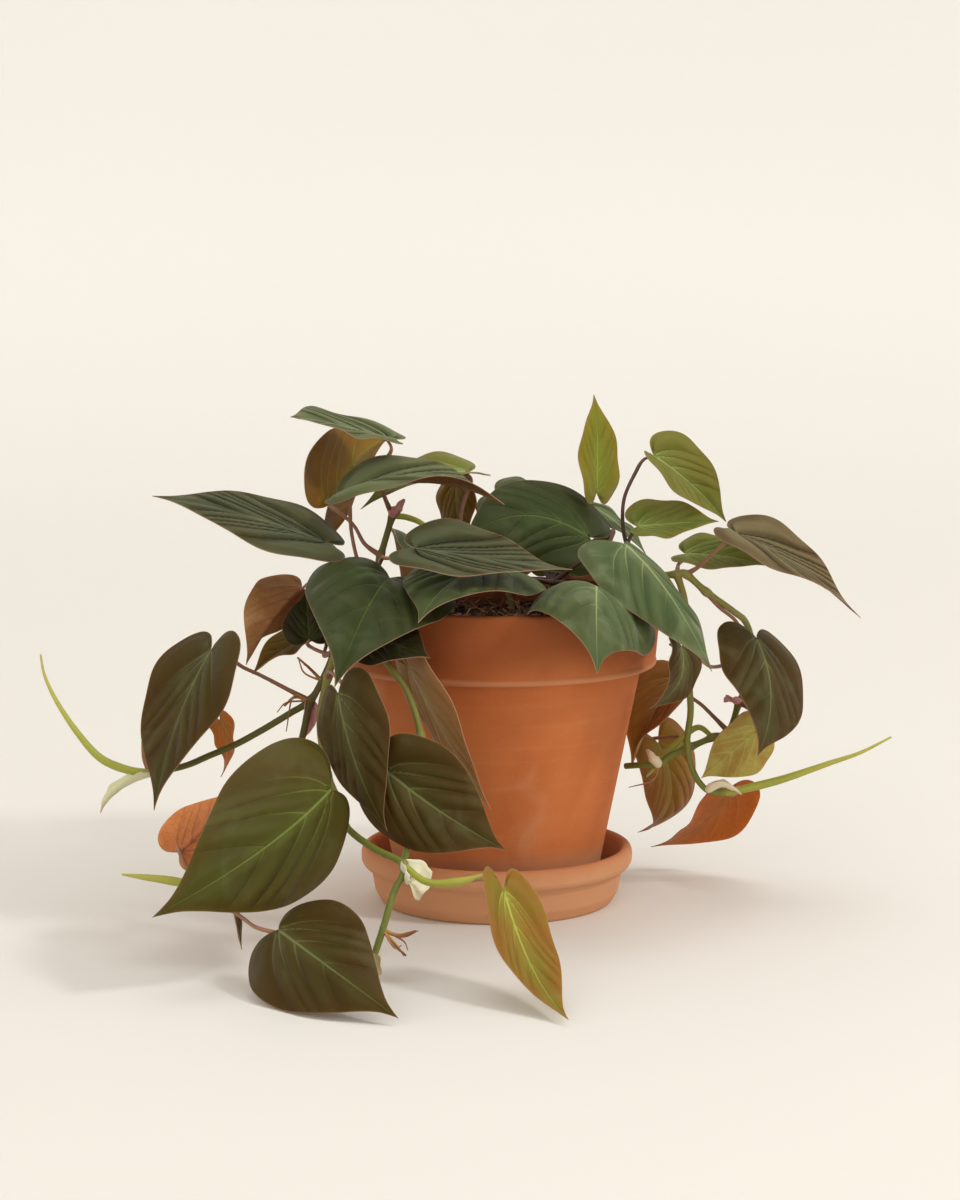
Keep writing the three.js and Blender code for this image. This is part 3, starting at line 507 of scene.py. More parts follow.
# The outline of half a blade: shares of the length along the midrib and of the half width across it
halfOutline = [
    (0, 0), (-0.05, 0.09), (-0.115, 0.3), (-0.125, 0.55), (-0.065, 0.79), (0.06, 0.95), (0.22, 1),
    (0.4, 0.92), (0.56, 0.74), (0.7, 0.5), (0.81, 0.27), (0.89, 0.12), (0.95, 0.045), (1, 0),
]
blade = {
    "steps": 78,  # along each edge
    "rings": 13,  # from the midrib to each edge
    "thickness": 0.55,
    "rim": 0.3,  # thickness at the margin
    "sinus": 0.2,  # share of the length that the basal veins fan out from
    "sinusEase": 1.2,
    "twistCentre": 0.3,  # share of the length that a twist turns about
    "wave": 1.0,
    "wavesPerLength": 1.9,
    "wavePhases": (0.15, 0.6),  # of the two halves
    "veinStarts": [0, 0.19, 0.46, 1],  # shares of the midrib where the side veins leave it
    "veinSlant": 0.43,  # how far a vein runs forward on its way to the edge: at its start
    "veinCurve": 0.52,  # and toward its end
    "plan": (1, 2.3, 0.5),  # how far veins run lengthwise, how many fan out at the notch and their spread
    "ribbedPlan": (1.6, 5.4, 1.3),  # of the leaves with long sunken ribs
    "puckerShare": 0.12,  # height of the quilting as a share of the distance between veins
    "puckerLimit": 0.9,
    "puckerFrom": (0.5, 0.4),  # distances from the midrib and the edge where the quilting begins
    "puckerFull": 6,  # and where it is full
    "puckerBump": 0.11,  # the same in the shading
    "archLimit": 9,
    "grooveDepth": 0.3,  # of the upper face along the midrib
    "grooveWidth": 1.3,
    "ribHeight": 0.5,  # of the midrib on the underside
    "ribRadius": 0.9,
    "veinHeight": 0.14,
    "veinWidth": 0.55,
    "veinHalo": (0.2, 3.2),  # paler skin beside a vein: where it is full and where it ends
    "ribWidth": 0.95,  # of the painted midrib at the notch
    "ribNarrowing": 0.75,  # and how much narrower it is at the tip
    "ribHalo": (0.3, 4.5),
    "underHalo": (0.5, 9),
    "lipWidth": (0.1, 0.4),
    "relief": {"vein": 0.3, "midrib": 0.4, "cells": 0.16, "pile": 0.06},
    "underRelief": {"midrib": 1.4, "net": 0.3, "cells": 0.4},
    "glowDepth": 0.003,  # how far light passes through the flesh, in metres
    "glowHues": (1, 0.7, 0.25),  # and in which hues
    "cellScale": 95,
    "mottleScale": 28,
    "frostScale": 55,
    "pileScale": 700,
    "netScale": 340,
    "marginScale": 60,
    # painted sheen: pale flecks standing in for the velvet's sheen
    "frost": "8c9c74",
    "lip": "9a7458",
    "pile": "d4dcc4",
    "net": "54281c",
    "underPile": "f0d8c8",
    "margin": ("8a6a50", "a88468"),
}


# A leaf colour: its face, the blush toward the margin, the veins and the underside, the strength of the
# quilting, and what differs from the usual
def leafTone(face, blush, vein, under, quilt, **more):
    usual = {
        "rib": "8c5c40",  # veins of the underside
        "line": vein,  # colour of the sunken ribs: the pale vein colour, or a dark colour that is painted shade in the grooves
        "cut": 0.05,  # and its strength toward the tip
        "fade": 0.8,  # how far they fade toward the margin
        "crest": 0.06,  # painted highlight: paler crests of the cells between them
        # strength of the painted sheen flecks
        "frost": 0.08,
        "pile": 0.015,  # the velvet's sheen
        "through": 0.08,  # share of the light that passes through the flesh
        "plan": blade["plan"],
    }
    return {"face": face, "blush": blush, "vein": vein, "under": under, "quilt": quilt, **usual, **more}


sunken = {"fade": 0.2, "plan": blade["ribbedPlan"]}  # of the tones with long sunken ribs
# In crest, ribbed and silver the dark line colour is painted shade in the sunken ribs, and crest is a painted
# highlight on the cells between them
tones = {
    "green": leafTone("465832", "444c28", "a2b07a", "6e4a26", 1.1, pile=0.12, frost=0.3),
    "crest": leafTone("4c5634", "4c4e2c", "98a278", "6e4a26", 1.6, pile=0.07, line="23280f", cut=0.5,
                      crest=0.25, **sunken),
    "deep": leafTone("2e3a18", "363a1a", "5a6a36", "603e22", 0.8),
    "ribbed": leafTone("32381e", "423c20", "6c7454", "603e22", 1.8, pile=0.06, line="10140a", cut=0.55,
                       crest=0.3, **sunken),
    "grass": leafTone("66742e", "706a2c", "a0ae62", "76762a", 1.1, pile=0.06),
    "fresh": leafTone("6a781a", "80701c", "9aaa40", "80700e", 0.8),
    "olive": leafTone("424214", "4e3e16", "7c8a42", "74461c", 1.1),
    "silver": leafTone("544c2c", "563e28", "a0966c", "74461c", 1.8, pile=0.04, line="221e0e", cut=0.5,
                       crest=0.25, **sunken),
    "brown": leafTone("3c330a", "44300e", "7c8250", "5a3210", 1.0, through=0.18),
    # painted shade: a darker copy of the green for leaves that lie in the shade of others
    "dark": leafTone("24270f", "2c2210", "484e26", "4a3019", 0.7),
    "bronze": leafTone("5e4c10", "644a0c", "80702a", "7c5606", 0.7, rib="86801e", through=0.2),
    "copper": leafTone("584416", "8c5c30", "847838", "a07c52", 1.1, rib="8c5636", through=0.2),
    "rosy": leafTone("8a703c", "886044", "b4a278", "b49c60", 1.0, through=0.5),
    "salmon": leafTone("c88c48", "cc743e", "c4a060", "cc8450", 0.8, rib="a46c4c", through=0.3),
    "purple": leafTone("927030", "805030", "a09652", "8a6030", 1.0, through=0.3),
    "orange": leafTone("a0641e", "a2521c", "b09048", "ac5e1c", 0.9, rib="946634", through=0.25),
    "pale": leafTone("7a6e22", "885a22", "b4b854", "a4984c", 1.0, rib="b4ac5c", through=0.3),
}
bladeFields = ["veinAt", "veinSpacing", "fromMidrib", "fromEdge", "share", "along"]
greenTones = {"green", "crest", "deep", "ribbed", "grass", "fresh"}
bronzeTones = {"olive", "silver", "brown", "dark", "bronze", "copper", "rosy", "purple"}


def leafSlot(tone):
    if tone in greenTones:
        return "leaf_green"
    return "leaf_bronze" if tone in bronzeTones else "leaf_young"


# Light that passes through the flesh of a blade
def flesh(hues):
    return {"Subsurface Weight": hues["through"], "Subsurface Scale": blade["glowDepth"],
            "Subsurface Radius": blade["glowHues"]}


# The upper face: paler veins sunk between quilted cells, painted shade in the sunken ribs of some tones, a
# painted highlight on the cells' crests, painted sheen flecks, a bronze blush toward the margin and a pile
def upperFinish(name, hues):
    def describe(graph):
        place = graph.objectPlace()
        veinAt, spacing, fromMidrib, fromEdge, share, along = [graph.attribute(key) for key in bladeFields]
        gap = graph.maths("PINGPONG", veinAt, 0.5)
        fromVein = gap * spacing
        width = blade["veinWidth"] - hues["fade"] * 0.5 * share
        lateral = (1 - graph.smooth(fromVein, width * 0.3, width * 1.3)) * (1 - hues["fade"] * share)
        near = 1 - graph.smooth(along + share * 0.35, 0.05, 0.75)
        halo = (1 - graph.smooth(fromVein, *blade["veinHalo"])) * (1 - share)
        ribWidth = blade["ribWidth"] - blade["ribNarrowing"] * along
        midrib = 1 - graph.smooth(fromMidrib, ribWidth * 0.35, ribWidth * 1.1)
        ribHalo = (1 - graph.smooth(fromMidrib, *blade["ribHalo"])) * (1 - graph.smooth(along, 0.2, 0.95))
        cells = graph.noise(place, blade["cellScale"], 4, 0.6)
        mottle = graph.noise(place, blade["mottleScale"], 3, 0.3)
        base = graph.mixed(graph.smooth(mottle, 0.3, 0.75), colour(hues["face"]), colour(hues["blush"]))
        blush = graph.smooth(share + 0.4 * mottle, 0.55, 1.2) * 0.75
        base = graph.mixed(blush, base, colour(hues["blush"]))
        # painted sheen flecks over the face
        frost = graph.smooth(graph.noise(place, blade["frostScale"], 5, 0.8), 0.5, 0.72) * hues["frost"]
        base = graph.mixed(frost, base, colour(blade["frost"]))
        vein = colour(hues["vein"])
        base = graph.mixed(halo * near * 0.14 + ribHalo * 0.16, base, vein)
        # painted highlight on the crests of the quilted cells
        base = graph.mixed(graph.smooth(gap, 0.1, 0.4) * hues["crest"], base, vein)
        # the sunken ribs in the line colour, which for crest, ribbed and silver is painted shade in the
        # grooves
        cut = hues["cut"] * (1 - 0.5 * along) + 0.55 * near
        base = graph.mixed(lateral * cut, base, colour(hues["line"]))
        base = graph.mixed(midrib * (0.9 - 0.6 * along), base, vein)
        lip = 1 - graph.smooth(fromEdge, *blade["lipWidth"])
        base = graph.mixed(lip * 0.4, base, colour(blade["lip"]))
        arch = graph.maths("SINE", gap * math.pi) * graph.maths("MINIMUM", spacing, blade["archLimit"])
        calm = graph.smooth(fromMidrib, 0, 4) * graph.smooth(fromEdge, 0, 5)
        part = blade["relief"]
        relief = arch * calm * (blade["puckerBump"] * hues["quilt"]) - lateral * part["vein"]
        pile = graph.noise(place, blade["pileScale"]) * part["pile"]
        relief = relief - midrib * part["midrib"] + cells * part["cells"] + pile
        return {"Base Color": base, "Roughness": 0.42 + 0.18 * cells + 0.1 * midrib,
                "Specular IOR Level": 0.12, "Sheen Weight": hues["pile"], "Sheen Roughness": 0.4,
                "Sheen Tint": colour(blade["pile"]), "Normal": graph.bump(relief, 0.001), **flesh(hues)}

    return finish("upper_face_" + name, describe)


# The underside: raised reddish veins and a duller, paler skin
def lowerFinish(name, hues):
    def describe(graph):
        place = graph.objectPlace()
        veinAt, spacing, fromMidrib, share = [
            graph.attribute(key) for key in ("veinAt", "veinSpacing", "fromMidrib", "share")]
        fromVein = graph.maths("PINGPONG", veinAt, 0.5) * spacing
        lateral = (1 - graph.smooth(fromVein, 0.2, 0.75)) * (1 - 0.7 * share)
        midrib = 1 - graph.smooth(fromMidrib, 0.35, 1.1)
        cells = graph.noise(place, blade["cellScale"], 4, 0.6)
        sockets = {"Vector": place, "Scale": blade["netScale"]}
        net = graph.wire("ShaderNodeTexVoronoi", {"feature": "DISTANCE_TO_EDGE"}, sockets)
        net = 1 - graph.smooth(net, 0, 0.09)
        base = graph.mixed(graph.smooth(cells, 0.3, 0.7) * 0.7, colour(hues["under"]), colour(hues["blush"]))
        base = graph.mixed(net * 0.16, base, colour(blade["net"]))
        halo = 1 - graph.smooth(fromMidrib, *blade["underHalo"])
        base = graph.mixed(halo * 0.25 + lateral * 0.5 + midrib * 0.25, base, colour(hues["rib"]))
        part = blade["underRelief"]
        relief = lateral + midrib * part["midrib"] + net * part["net"] + cells * part["cells"]
        return {"Base Color": base, "Roughness": 0.5 + 0.15 * cells, "Specular IOR Level": 0.2,
                "Sheen Weight": 0.03, "Sheen Roughness": 0.5, "Sheen Tint": colour(blade["underPile"]),
                "Normal": graph.bump(relief, 0.0004, 0.6), **flesh(hues)}

    return finish("underside_" + name, describe)


def marginFinish(graph):
    tinge = graph.noise(graph.objectPlace(), blade["marginScale"])
    low, high = blade["margin"]
    return {"Base Color": graph.mixed(tinge, colour(low), colour(high)), "Roughness": 0.6,
            "Normal": graph.bump(tinge, 0.0002, 0.3)}


leafFaces = {name: (upperFinish(name, hues), lowerFinish(name, hues)) for name, hues in tones.items()}
margin = finish("leaf_margin", marginFinish)


# A leaf's placing: its midrib, the way it faces and its bow
def leafPlacing(row):
    notch, tip, width, roll, fold, bend, arch, sweep, twist, tone = row
    notch, tip = np.array(notch, float), np.array(tip, float)
    chord = tip - notch
    length = np.linalg.norm(chord)
    midrib = chord / length
    toward = np.array([0, -1, 0.1])
    toward = unit(toward - toward.dot(midrib) * midrib)
    angle = math.radians(roll)
    facing = toward * math.cos(angle) + np.cross(midrib, toward) * math.sin(angle)
    sideways = np.cross(midrib, facing)
    bow = facing * arch * length + sideways * sweep * length
    return {"notch": notch, "chord": chord, "length": length, "sideways": sideways, "bow": bow,
            "halfWidth": width / 2, "fold": np.radians(fold), "bend": np.radians(bend),
            "twist": math.radians(twist), "tone": tone}


# The directions of a leaf at places along its midrib: forward, across and out of the upper face
def midribAxes(leaf, along):
    slope = np.where(along < 0, 4, 4 - 8 * along)[..., None]
    forward = unit(leaf["chord"] + leaf["bow"] * slope)
    up = unit(np.cross(np.broadcast_to(leaf["sideways"], forward.shape), forward))
    level = np.cross(forward, up)
    turn = (leaf["twist"] * (along - blade["twistCentre"]))[..., None]
    across = level * np.cos(turn) + up * np.sin(turn)
    return forward, across, np.cross(across, forward)


# Points of one half of the upper face and the blade's direction of thickness there
def bladeHalf(leaf, side, along, across):
    half = 0 if side > 0 else 1
    rise = np.where(along < 0, 4 * along, 4 * along * (1 - along))[..., None]
    forward, out, normal = midribAxes(leaf, along)
    fold = leaf["fold"][half]
    bend = leaf["bend"][half] or 1e-3
    lean = fold + bend * across
    reach = leaf["halfWidth"] / bend * (np.sin(lean) - np.sin(fold))
    lift = -leaf["halfWidth"] / bend * (np.cos(lean) - np.cos(fold))
    phase = 2 * math.pi * along * blade["wavesPerLength"] + blade["wavePhases"][half]
    wave = blade["wave"] * np.sin(phase) * across ** 2
    point = leaf["notch"] + leaf["chord"] * along[..., None] + leaf["bow"] * rise
    point = point + out * (side * reach)[..., None] + normal * (lift + wave)[..., None]
    lateral = np.where(across > 0, lean, 0)
    depth = normal * np.cos(lateral)[..., None] - out * (side * np.sin(lateral))[..., None]
    return point, depth


def easeBetween(value, low, high):
    share = np.clip((value - low) / (high - low), 0, 1)
    return share * share * (3 - 2 * share)


# Counts the side veins: whole numbers lie on one. Ahead of the vein that curves forward from the notch
# they leave the midrib, and behind it they fan out from the notch
def veinNumber(along, across, plan):
    lengthwise, fan, spread = plan
    basal = (blade["veinSlant"] * across + blade["veinCurve"] * across ** 2) * lengthwise
    start = np.clip(along - basal, 0, 1)
    starts = blade["veinStarts"]
    ahead = np.interp(start, starts, np.arange(len(starts)))
    back = np.maximum(basal - along, 0) / np.maximum(across, 1e-4)
    behind = fan * back / (back + spread)
    return 2 + np.where(along >= basal, ahead, -behind)


# Veins, quilting and distances of one half, and its points with the quilting added
def dressedHalf(leaf, side, hues):
    steps, rings = blade["steps"], blade["rings"]
    edge = smoothPath(halfOutline, steps + 1)
    x, y = edge[:, 0], edge[:, 1]
    origin = np.clip((x - blade["sinus"]) / (1 - blade["sinus"]), 0, None) ** blade["sinusEase"]
    share = np.linspace(0, 1, rings + 1)[None, :]
    power = (1 + 0.45 * np.clip(x / 0.3, 0, 1))[:, None]
    along = origin[:, None] + (x - origin)[:, None] * share ** power
    across = y[:, None] * share
    point, depth = bladeHalf(leaf, side, along, across)
    veinAt = veinNumber(along, across, hues["plan"])
    down, outward = np.gradient(point, axis=0), np.gradient(point, axis=1)
    long, wide, skew = ((a * b).sum(-1) for a, b in ((down, down), (outward, outward), (down, outward)))
    veinDown, veinOut = np.gradient(veinAt, axis=0), np.gradient(veinAt, axis=1)
    steep = veinDown ** 2 * wide - 2 * veinDown * veinOut * skew + veinOut ** 2 * long
    area = np.maximum(long * wide - skew ** 2, 1e-9)
    spacing = 1 / np.sqrt(np.clip(steep / area, 1e-4, 1e2))
    tangent = unit(np.gradient(point[:, -1], axis=0) + 1e-9)[:, None]
    toEdge = point[:, -1:] - point
    fromEdge = np.linalg.norm(toEdge - (toEdge * tangent).sum(-1, keepdims=True) * tangent, axis=-1)
    behind = np.minimum(along, 0) * leaf["length"]
    fromMidrib = np.hypot(behind, across * leaf["halfWidth"])
    cell = np.abs(np.sin(math.pi * veinAt)) ** 0.8 - 0.45
    (inner, outer), full = blade["puckerFrom"], blade["puckerFull"]
    envelope = easeBetween(fromMidrib, inner, full) * easeBetween(fromEdge, outer, full)
    height = np.minimum(spacing * blade["puckerShare"], blade["puckerLimit"]) * hues["quilt"]
    groove = blade["grooveDepth"] * np.exp(-(fromMidrib / blade["grooveWidth"]) ** 2)
    groove = groove * easeBetween(1 - along, 0, 0.5)
    point = point + depth * (cell * envelope * height - groove * envelope)[..., None]
    share = np.broadcast_to(share, along.shape)
    return point, depth, dict(zip(bladeFields, (veinAt, spacing, fromMidrib, fromEdge, share, along)))


# The two halves of a blade side by side, with the midrib once
def joinedHalves(first, second):
    return np.concatenate([second[:, :0:-1], first], axis=1)


def makeLeaf(name, row):
    leaf = leafPlacing(row)
    hues = tones[leaf["tone"]]
    plus, plusDepth, plusFields = dressedHalf(leaf, 1, hues)
    minus, minusDepth, minusFields = dressedHalf(leaf, -1, hues)
    upper, depth = joinedHalves(plus, minus), joinedHalves(plusDepth, minusDepth)
    fields = {key: joinedHalves(plusFields[key], minusFields[key]) for key in bladeFields}
    vein = np.exp(-(np.abs(fields["veinAt"] - np.round(fields["veinAt"])) * fields["veinSpacing"] / 0.5) ** 2)
    rib = np.exp(-(fields["fromMidrib"] / blade["ribRadius"]) ** 2)
    rib = rib * (1 - 0.8 * np.clip(fields["along"], 0, 1))
    thin = easeBetween(fields["fromEdge"], 0, 2)
    thickness = blade["rim"] + (blade["thickness"] - blade["rim"]) * thin
    raised = blade["ribHeight"] * rib + blade["veinHeight"] * vein * (1 - fields["share"])
    thickness = thickness + thin * raised
    lower = upper - depth * thickness[..., None]
    rows, columns = upper.shape[:2]
    number = np.arange(rows * columns).reshape(rows, columns)
    under = number + rows * columns
    top, bottom = gridFaces(number), gridFaces(under)[:, ::-1]
    walls = []
    for column, turned in ((0, False), (columns - 1, True)):
        wall = np.stack([number[:-1, column], number[1:, column], under[1:, column], under[:-1, column]], 1)
        walls.append(wall[:, ::-1] if turned else wall)
    faces = np.concatenate([top, bottom, *walls])
    kinds = np.repeat([0, 1, 2], [len(top), len(bottom), sum(len(wall) for wall in walls)])
    vertices = np.concatenate([upper.reshape(-1, 3), lower.reshape(-1, 3)]) * mm
    piece = meshPiece(name + "_blade", vertices, faces, [*leafFaces[leaf["tone"]], margin], kinds)
    paintFields(piece.data, fields, 2)
    weldSeams(piece.data)
    seat(piece, name, leafSlot(leaf["tone"]))


# Merges the corners that meet at the notch and the tip, and keeps the rim crisp
def weldSeams(mesh):
    shape = bmesh.new()
    shape.from_mesh(mesh)
    bmesh.ops.remove_doubles(shape, verts=shape.verts, dist=1e-7)
    bmesh.ops.dissolve_degenerate(shape, edges=shape.edges, dist=1e-8)
    for edge in shape.edges:
        materials = {face.material_index for face in edge.link_faces}
        edge.smooth = len(materials) == 1
    shape.to_mesh(mesh)
    shape.free()


for name, row in leaves.items():
    makeLeaf("leaf_" + name, row)
print("leaves made:", len(leaves))


# Petioles: the vine that carries the leaf, and the route from it to the bend below the leaf
petioles = {
    "crown_top": ["crown", [[-45, 4, 167], [-49, 5, 177], [-50, 9, 187]]],
    "crown_back": ["crown", [[-50, 0, 150], [-57, 2, 155], [-62, 5, 163]]],
    "crown_front": ["crown", [[-54, -6, 136], [-59, -8, 147], [-62, -10, 161]]],
    "crown_right": ["crown_back", [[-19, 22, 134], [-17, 26, 150], [-15, 28, 168]]],
    "crown_upright": ["crown_back", [[-19, 22, 134], [-8, 38, 150], [-8, 48, 164]]],
    "left_reach": ["crown", [[-54, -6, 136], [-60, -14, 146]]],
    "centre_lobe": ["centre", [[24, 2, 138], [18, 22, 146], [8, 44, 158]]],
    "centre_big": ["centre", [[24, 2, 138], [34, 8, 146]]],
    "centre_behind": ["centre", [[24, 2, 138], [30, 20, 148], [34, 36, 156]]],
    "centre_ribbed": ["crown", [[-54, -6, 136], [-49, -22, 151], [-46, -44, 154]]],
    "front_drape": ["centre", [[24, 2, 138], [16, -18, 142], [8, -38, 143]]],
    "front_big": ["front", [[-46, -36, 129], [-44, -32, 136]]],
    "front_under": ["front", [[-56, -66, 120]]],
    "left_underside": ["left", [[-58, -33, 137], [-66, -29, 141], [-74, -22, 141]]],
    "left_olive": ["left", [[-68, -42, 115], [-73, -30, 111]]],
    "left_dark": ["left", [[-68, -42, 115], [-72, -36, 113]]],
    "left_long": ["left", [[-78, -49, 95], [-86, -48, 99], [-98, -46, 105], [-107, -44, 109]]],
    "left_young": ["left", [[-145, -46, 64], [-148, -42, 71], [-147, -38, 81], [-135, -36, 87]]],
    "left_peach": ["left", [[-120, -110, 31]]],
    "low_big": ["front", [[-69, -84, 71], [-68, -94, 76], [-68, -106, 75]]],
    "low_tip": ["left", [[-95, -90, 57], [-103, -102, 47]]],
    "floor_brown": ["left", [[-120, -110, 31], [-112, -120, 28], [-100, -134, 24], [-93, -147, 23]]],
    "front_long": ["front", [[-70, -56, 106], [-69, -66, 110], [-66, -82, 111]]],
    "front_brown": ["front", [[-31, -92, 88]]],
    "pot_hugging": ["front", [[-48, -76, 118], [-39, -71, 119]]],
    "right_upright": ["centre", [[24, 2, 138], [34, 24, 150], [36, 31, 162]]],
    "right_arching": ["right_upright", [[59, 12, 147], [55, 12, 159], [55, 12, 173], [60, 12, 185]]],
    "right_flat": ["right_upright", [[59, 12, 147], [57, 9, 154]]],
    "right_behind": ["right", [[78, 8, 141], [79, 16, 144]]],
    "right_reach": ["right", [[82, 8, 141], [88, 7, 145], [94, 6, 151]]],
    "right_hanging": ["right", [[91, 10, 133], [97, 12, 126], [104, 15, 120]]],
    "right_drape": ["centre", [[24, 2, 138], [36, -6, 148], [46, -13, 153]]],
    "rim_drape": ["centre", [[24, 2, 138], [30, -8, 139]]],
    "curled_brown": ["right", [[114, 32, 102], [105, 24, 101], [99, 10, 101], [92, -8, 103],
        [86, -22, 108]]],
    "right_inner": ["right", [[102, 18, 70], [91, 20, 81], [85, 22, 86]]],
    "right_purple": ["right", [[85, 14, 64], [81, 22, 67]]],
    "right_orange": ["right", [[100, 8, 45], [104, 16, 42]]],
    "right_pale": ["right", [[107, 24, 82], [111, 20, 80]]],
    "floor_pale": ["front", [[-37, -128, 43], [-28, -134, 38], [-16, -139, 39], [-6, -143, 41]]],
    "back_upper": ["back", [[6, 44, 128], [0, 42, 142]]],
    "back_left": ["crown_back", [[-19, 22, 134], [-21, 28, 136]]],
    "back_right": ["back", [[6, 44, 128], [20, 34, 132]]],
    "back_crown": ["centre", [[24, 2, 138], [25, 24, 148], [28, 42, 156]]],
    "back_low": ["back", [[0, 77, 124], [2, 81, 114]]],
    "back_low_left": ["back", [[2, 69, 138], [-12, 77, 130], [-24, 80, 122]]],
    "back_low_right": ["back", [[2, 78, 92], [16, 77, 102], [32, 75, 108]]],
}

# Vines: stems from the soil outward, with growing tips, papery sheaths and aerial roots; a tapering limb
# is its route and its radius along it
vines = {
    "left": {
        "tone": "russet",
        "rooted": [[-44, -20, 108], [-50, -26, 127], [-58, -33, 137], [-64, -38, 132], [-68, -42, 115],
            [-73, -47, 103], [-78, -49, 95], [-86, -50, 90], [-98, -52, 83], [-109, -52, 77],
            [-120, -50, 72], [-131, -47, 67], [-145, -46, 64]],
        "branches": [
            [[-78, -49, 95], [-81, -64, 80], [-87, -76, 71], [-95, -90, 57], [-105, -102, 44],
             [-115, -108, 35], [-120, -110, 31]],
        ],
        "tips": [
            [[[-145, -46, 64], [-155, -44, 65], [-167, -38, 69], [-178, -30, 79], [-188, -20, 91],
              [-194, -10, 100], [-197, 0, 107]], [1.6, 1.8, 1.6, 1.3, 1, 0.7, 0.4]],
            [[[-120, -110, 31], [-125, -110, 32], [-134, -108, 33], [-150, -104, 34]],
              [1.6, 1.8, 1.3, 0.4]],
        ],
        "sheaths": [
            [[[-145, -46, 64], [-154, -49, 63], [-161, -51, 59], [-165, -51, 53], [-166, -50, 48]],
              [1.2, 2.6, 2.8, 1.8, 0.5]],
            [[[-78, -49, 95], [-77, -53, 91], [-78, -54, 86], [-80, -54, 81]], [1.4, 2.4, 2, 0.5]],
        ],
        "roots": [
            [[[-73, -47, 103], [-78, -50, 109], [-83, -48, 113]], [0.8, 0.6, 0.4]],
            [[[-78, -49, 95], [-84, -52, 97], [-88, -56, 94]], [0.8, 0.6, 0.4]],
        ],
    },
    "front": {
        "tone": "green",
        "rooted": [[-38, -30, 108], [-42, -33, 118], [-46, -36, 129], [-54, -43, 139], [-60, -49, 135],
            [-65, -52, 122], [-70, -56, 106], [-73, -60, 92], [-72, -70, 81], [-69, -84, 71],
            [-64, -92, 61], [-60, -100, 52], [-49, -115, 47], [-37, -128, 43], [-41, -133, 33],
            [-45, -138, 20], [-48, -140, 11]],
        "branches": [
            [[-65, -52, 122], [-56, -66, 120], [-48, -76, 118], [-42, -81, 112], [-36, -86, 104],
             [-31, -92, 88], [-31, -93, 72], [-34, -94, 58], [-36, -102, 47], [-37, -116, 43],
             [-37, -128, 43]],
        ],
        "tips": [
            [[[-37, -128, 43], [-28, -134, 38], [-16, -139, 39], [-5, -143, 43]], [1.4, 1.4, 1.9, 0.6]],
        ],
        "sheaths": [
            [[[-37, -128, 43], [-32, -131, 43], [-29, -134, 38], [-31, -136, 31]], [2, 5, 5.5, 1]],
            [[[-48, -140, 11], [-48, -141, 7], [-46, -142, 3]], [1.6, 2, 0.5]],
        ],
        "roots": [
            [[[-45, -138, 20], [-39, -139, 18], [-32, -140, 20]], [0.8, 0.7, 0.4]],
            [[[-45, -138, 20], [-40, -140, 14], [-36, -139, 10]], [0.8, 0.6, 0.4]],
        ],
    },
    "crown": {
        "tone": "russet",
        "rooted": [[-50, -4, 108], [-53, -6, 122], [-54, -6, 136], [-50, 0, 150], [-45, 4, 167]],
        "tips": [
            [[[-45, 4, 167], [-38, 4, 166], [-31, 0, 163], [-24, -6, 155]], [1.4, 1.3, 1, 0.5]],
        ],
        "sheaths": [
            [[[-45, 4, 167], [-43, 1, 171], [-40, -1, 175]], [1.4, 2.2, 0.5]],
        ],
    },
    "crown_back": {
        "tone": "green",
        "rooted": [[-22, 20, 108], [-20, 20, 122], [-19, 22, 134]],
    },
    "centre": {
        "tone": "green",
        "rooted": [[20, 8, 108], [22, 5, 124], [24, 2, 138]],
    },
    "right_upright": {
        "tone": "green",
        "rooted": [[54, 10, 108], [58, 11, 126], [60, 12, 138], [59, 12, 147]],
    },
    "right": {
        "tone": "green",
        "rooted": [[50, 28, 108], [56, 23, 127], [63, 18, 138], [71, 12, 140], [78, 8, 141], [82, 8, 141],
            [91, 10, 133], [103, 16, 124], [110, 24, 117], [114, 32, 102], [111, 28, 89], [107, 24, 82],
            [102, 18, 70], [95, 16, 68], [85, 14, 64], [76, 14, 60], [71, 14, 56], [66, 15, 56],
            [57, 22, 54]],
        "branches": [
            [[78, 8, 141], [81, 2, 130], [82, -2, 114], [83, 0, 96], [84, 2, 82], [83, 6, 67], [86, 8, 54],
             [92, 8, 46], [100, 8, 45]],
        ],
        "tips": [
            [[[100, 8, 45], [106, 8, 46], [124, 6, 51], [145, 3, 59], [158, 1, 64], [171, 0, 71]],
              [1.6, 1.9, 1.6, 1.2, 0.8, 0.4]],
            [[[95, 16, 68], [88, 18, 72], [78, 19, 63], [66, 18, 50]], [1, 1.5, 2.2, 0.4]],
        ],
        "sheaths": [
            [[[102, 18, 70], [107, 17, 74], [110, 16, 72]], [1.3, 2.2, 0.5]],
            [[[71, 14, 56], [69, 11, 60], [66, 10, 64]], [1.3, 2.2, 0.5]],
            [[[92, 8, 46], [98, 5, 51], [104, 4, 49], [107, 4, 45]], [1.3, 2.4, 2.2, 0.5]],
            [[[107, 24, 82], [103, 20, 86], [100, 16, 84]], [1.2, 2.2, 0.5]],
        ],
        "roots": [
            [[[71, 14, 56], [68, 12, 50], [66, 11, 46]], [0.8, 0.6, 0.4]],
        ],
    },
    "back": {
        "tone": "russet",
        "rooted": [[8, 34, 108], [6, 44, 128], [4, 58, 138], [2, 69, 138], [0, 77, 124], [0, 78, 104],
            [2, 78, 92], [8, 76, 70], [14, 80, 52], [18, 84, 38]],
        "tips": [
            [[[18, 84, 38], [21, 88, 30], [26, 94, 22], [34, 100, 20]], [1.6, 1.7, 1.2, 0.4]],
        ],
        "sheaths": [
            [[[18, 84, 38], [16, 88, 34], [15, 92, 28]], [1.3, 2.2, 0.5]],
        ],
    },
}

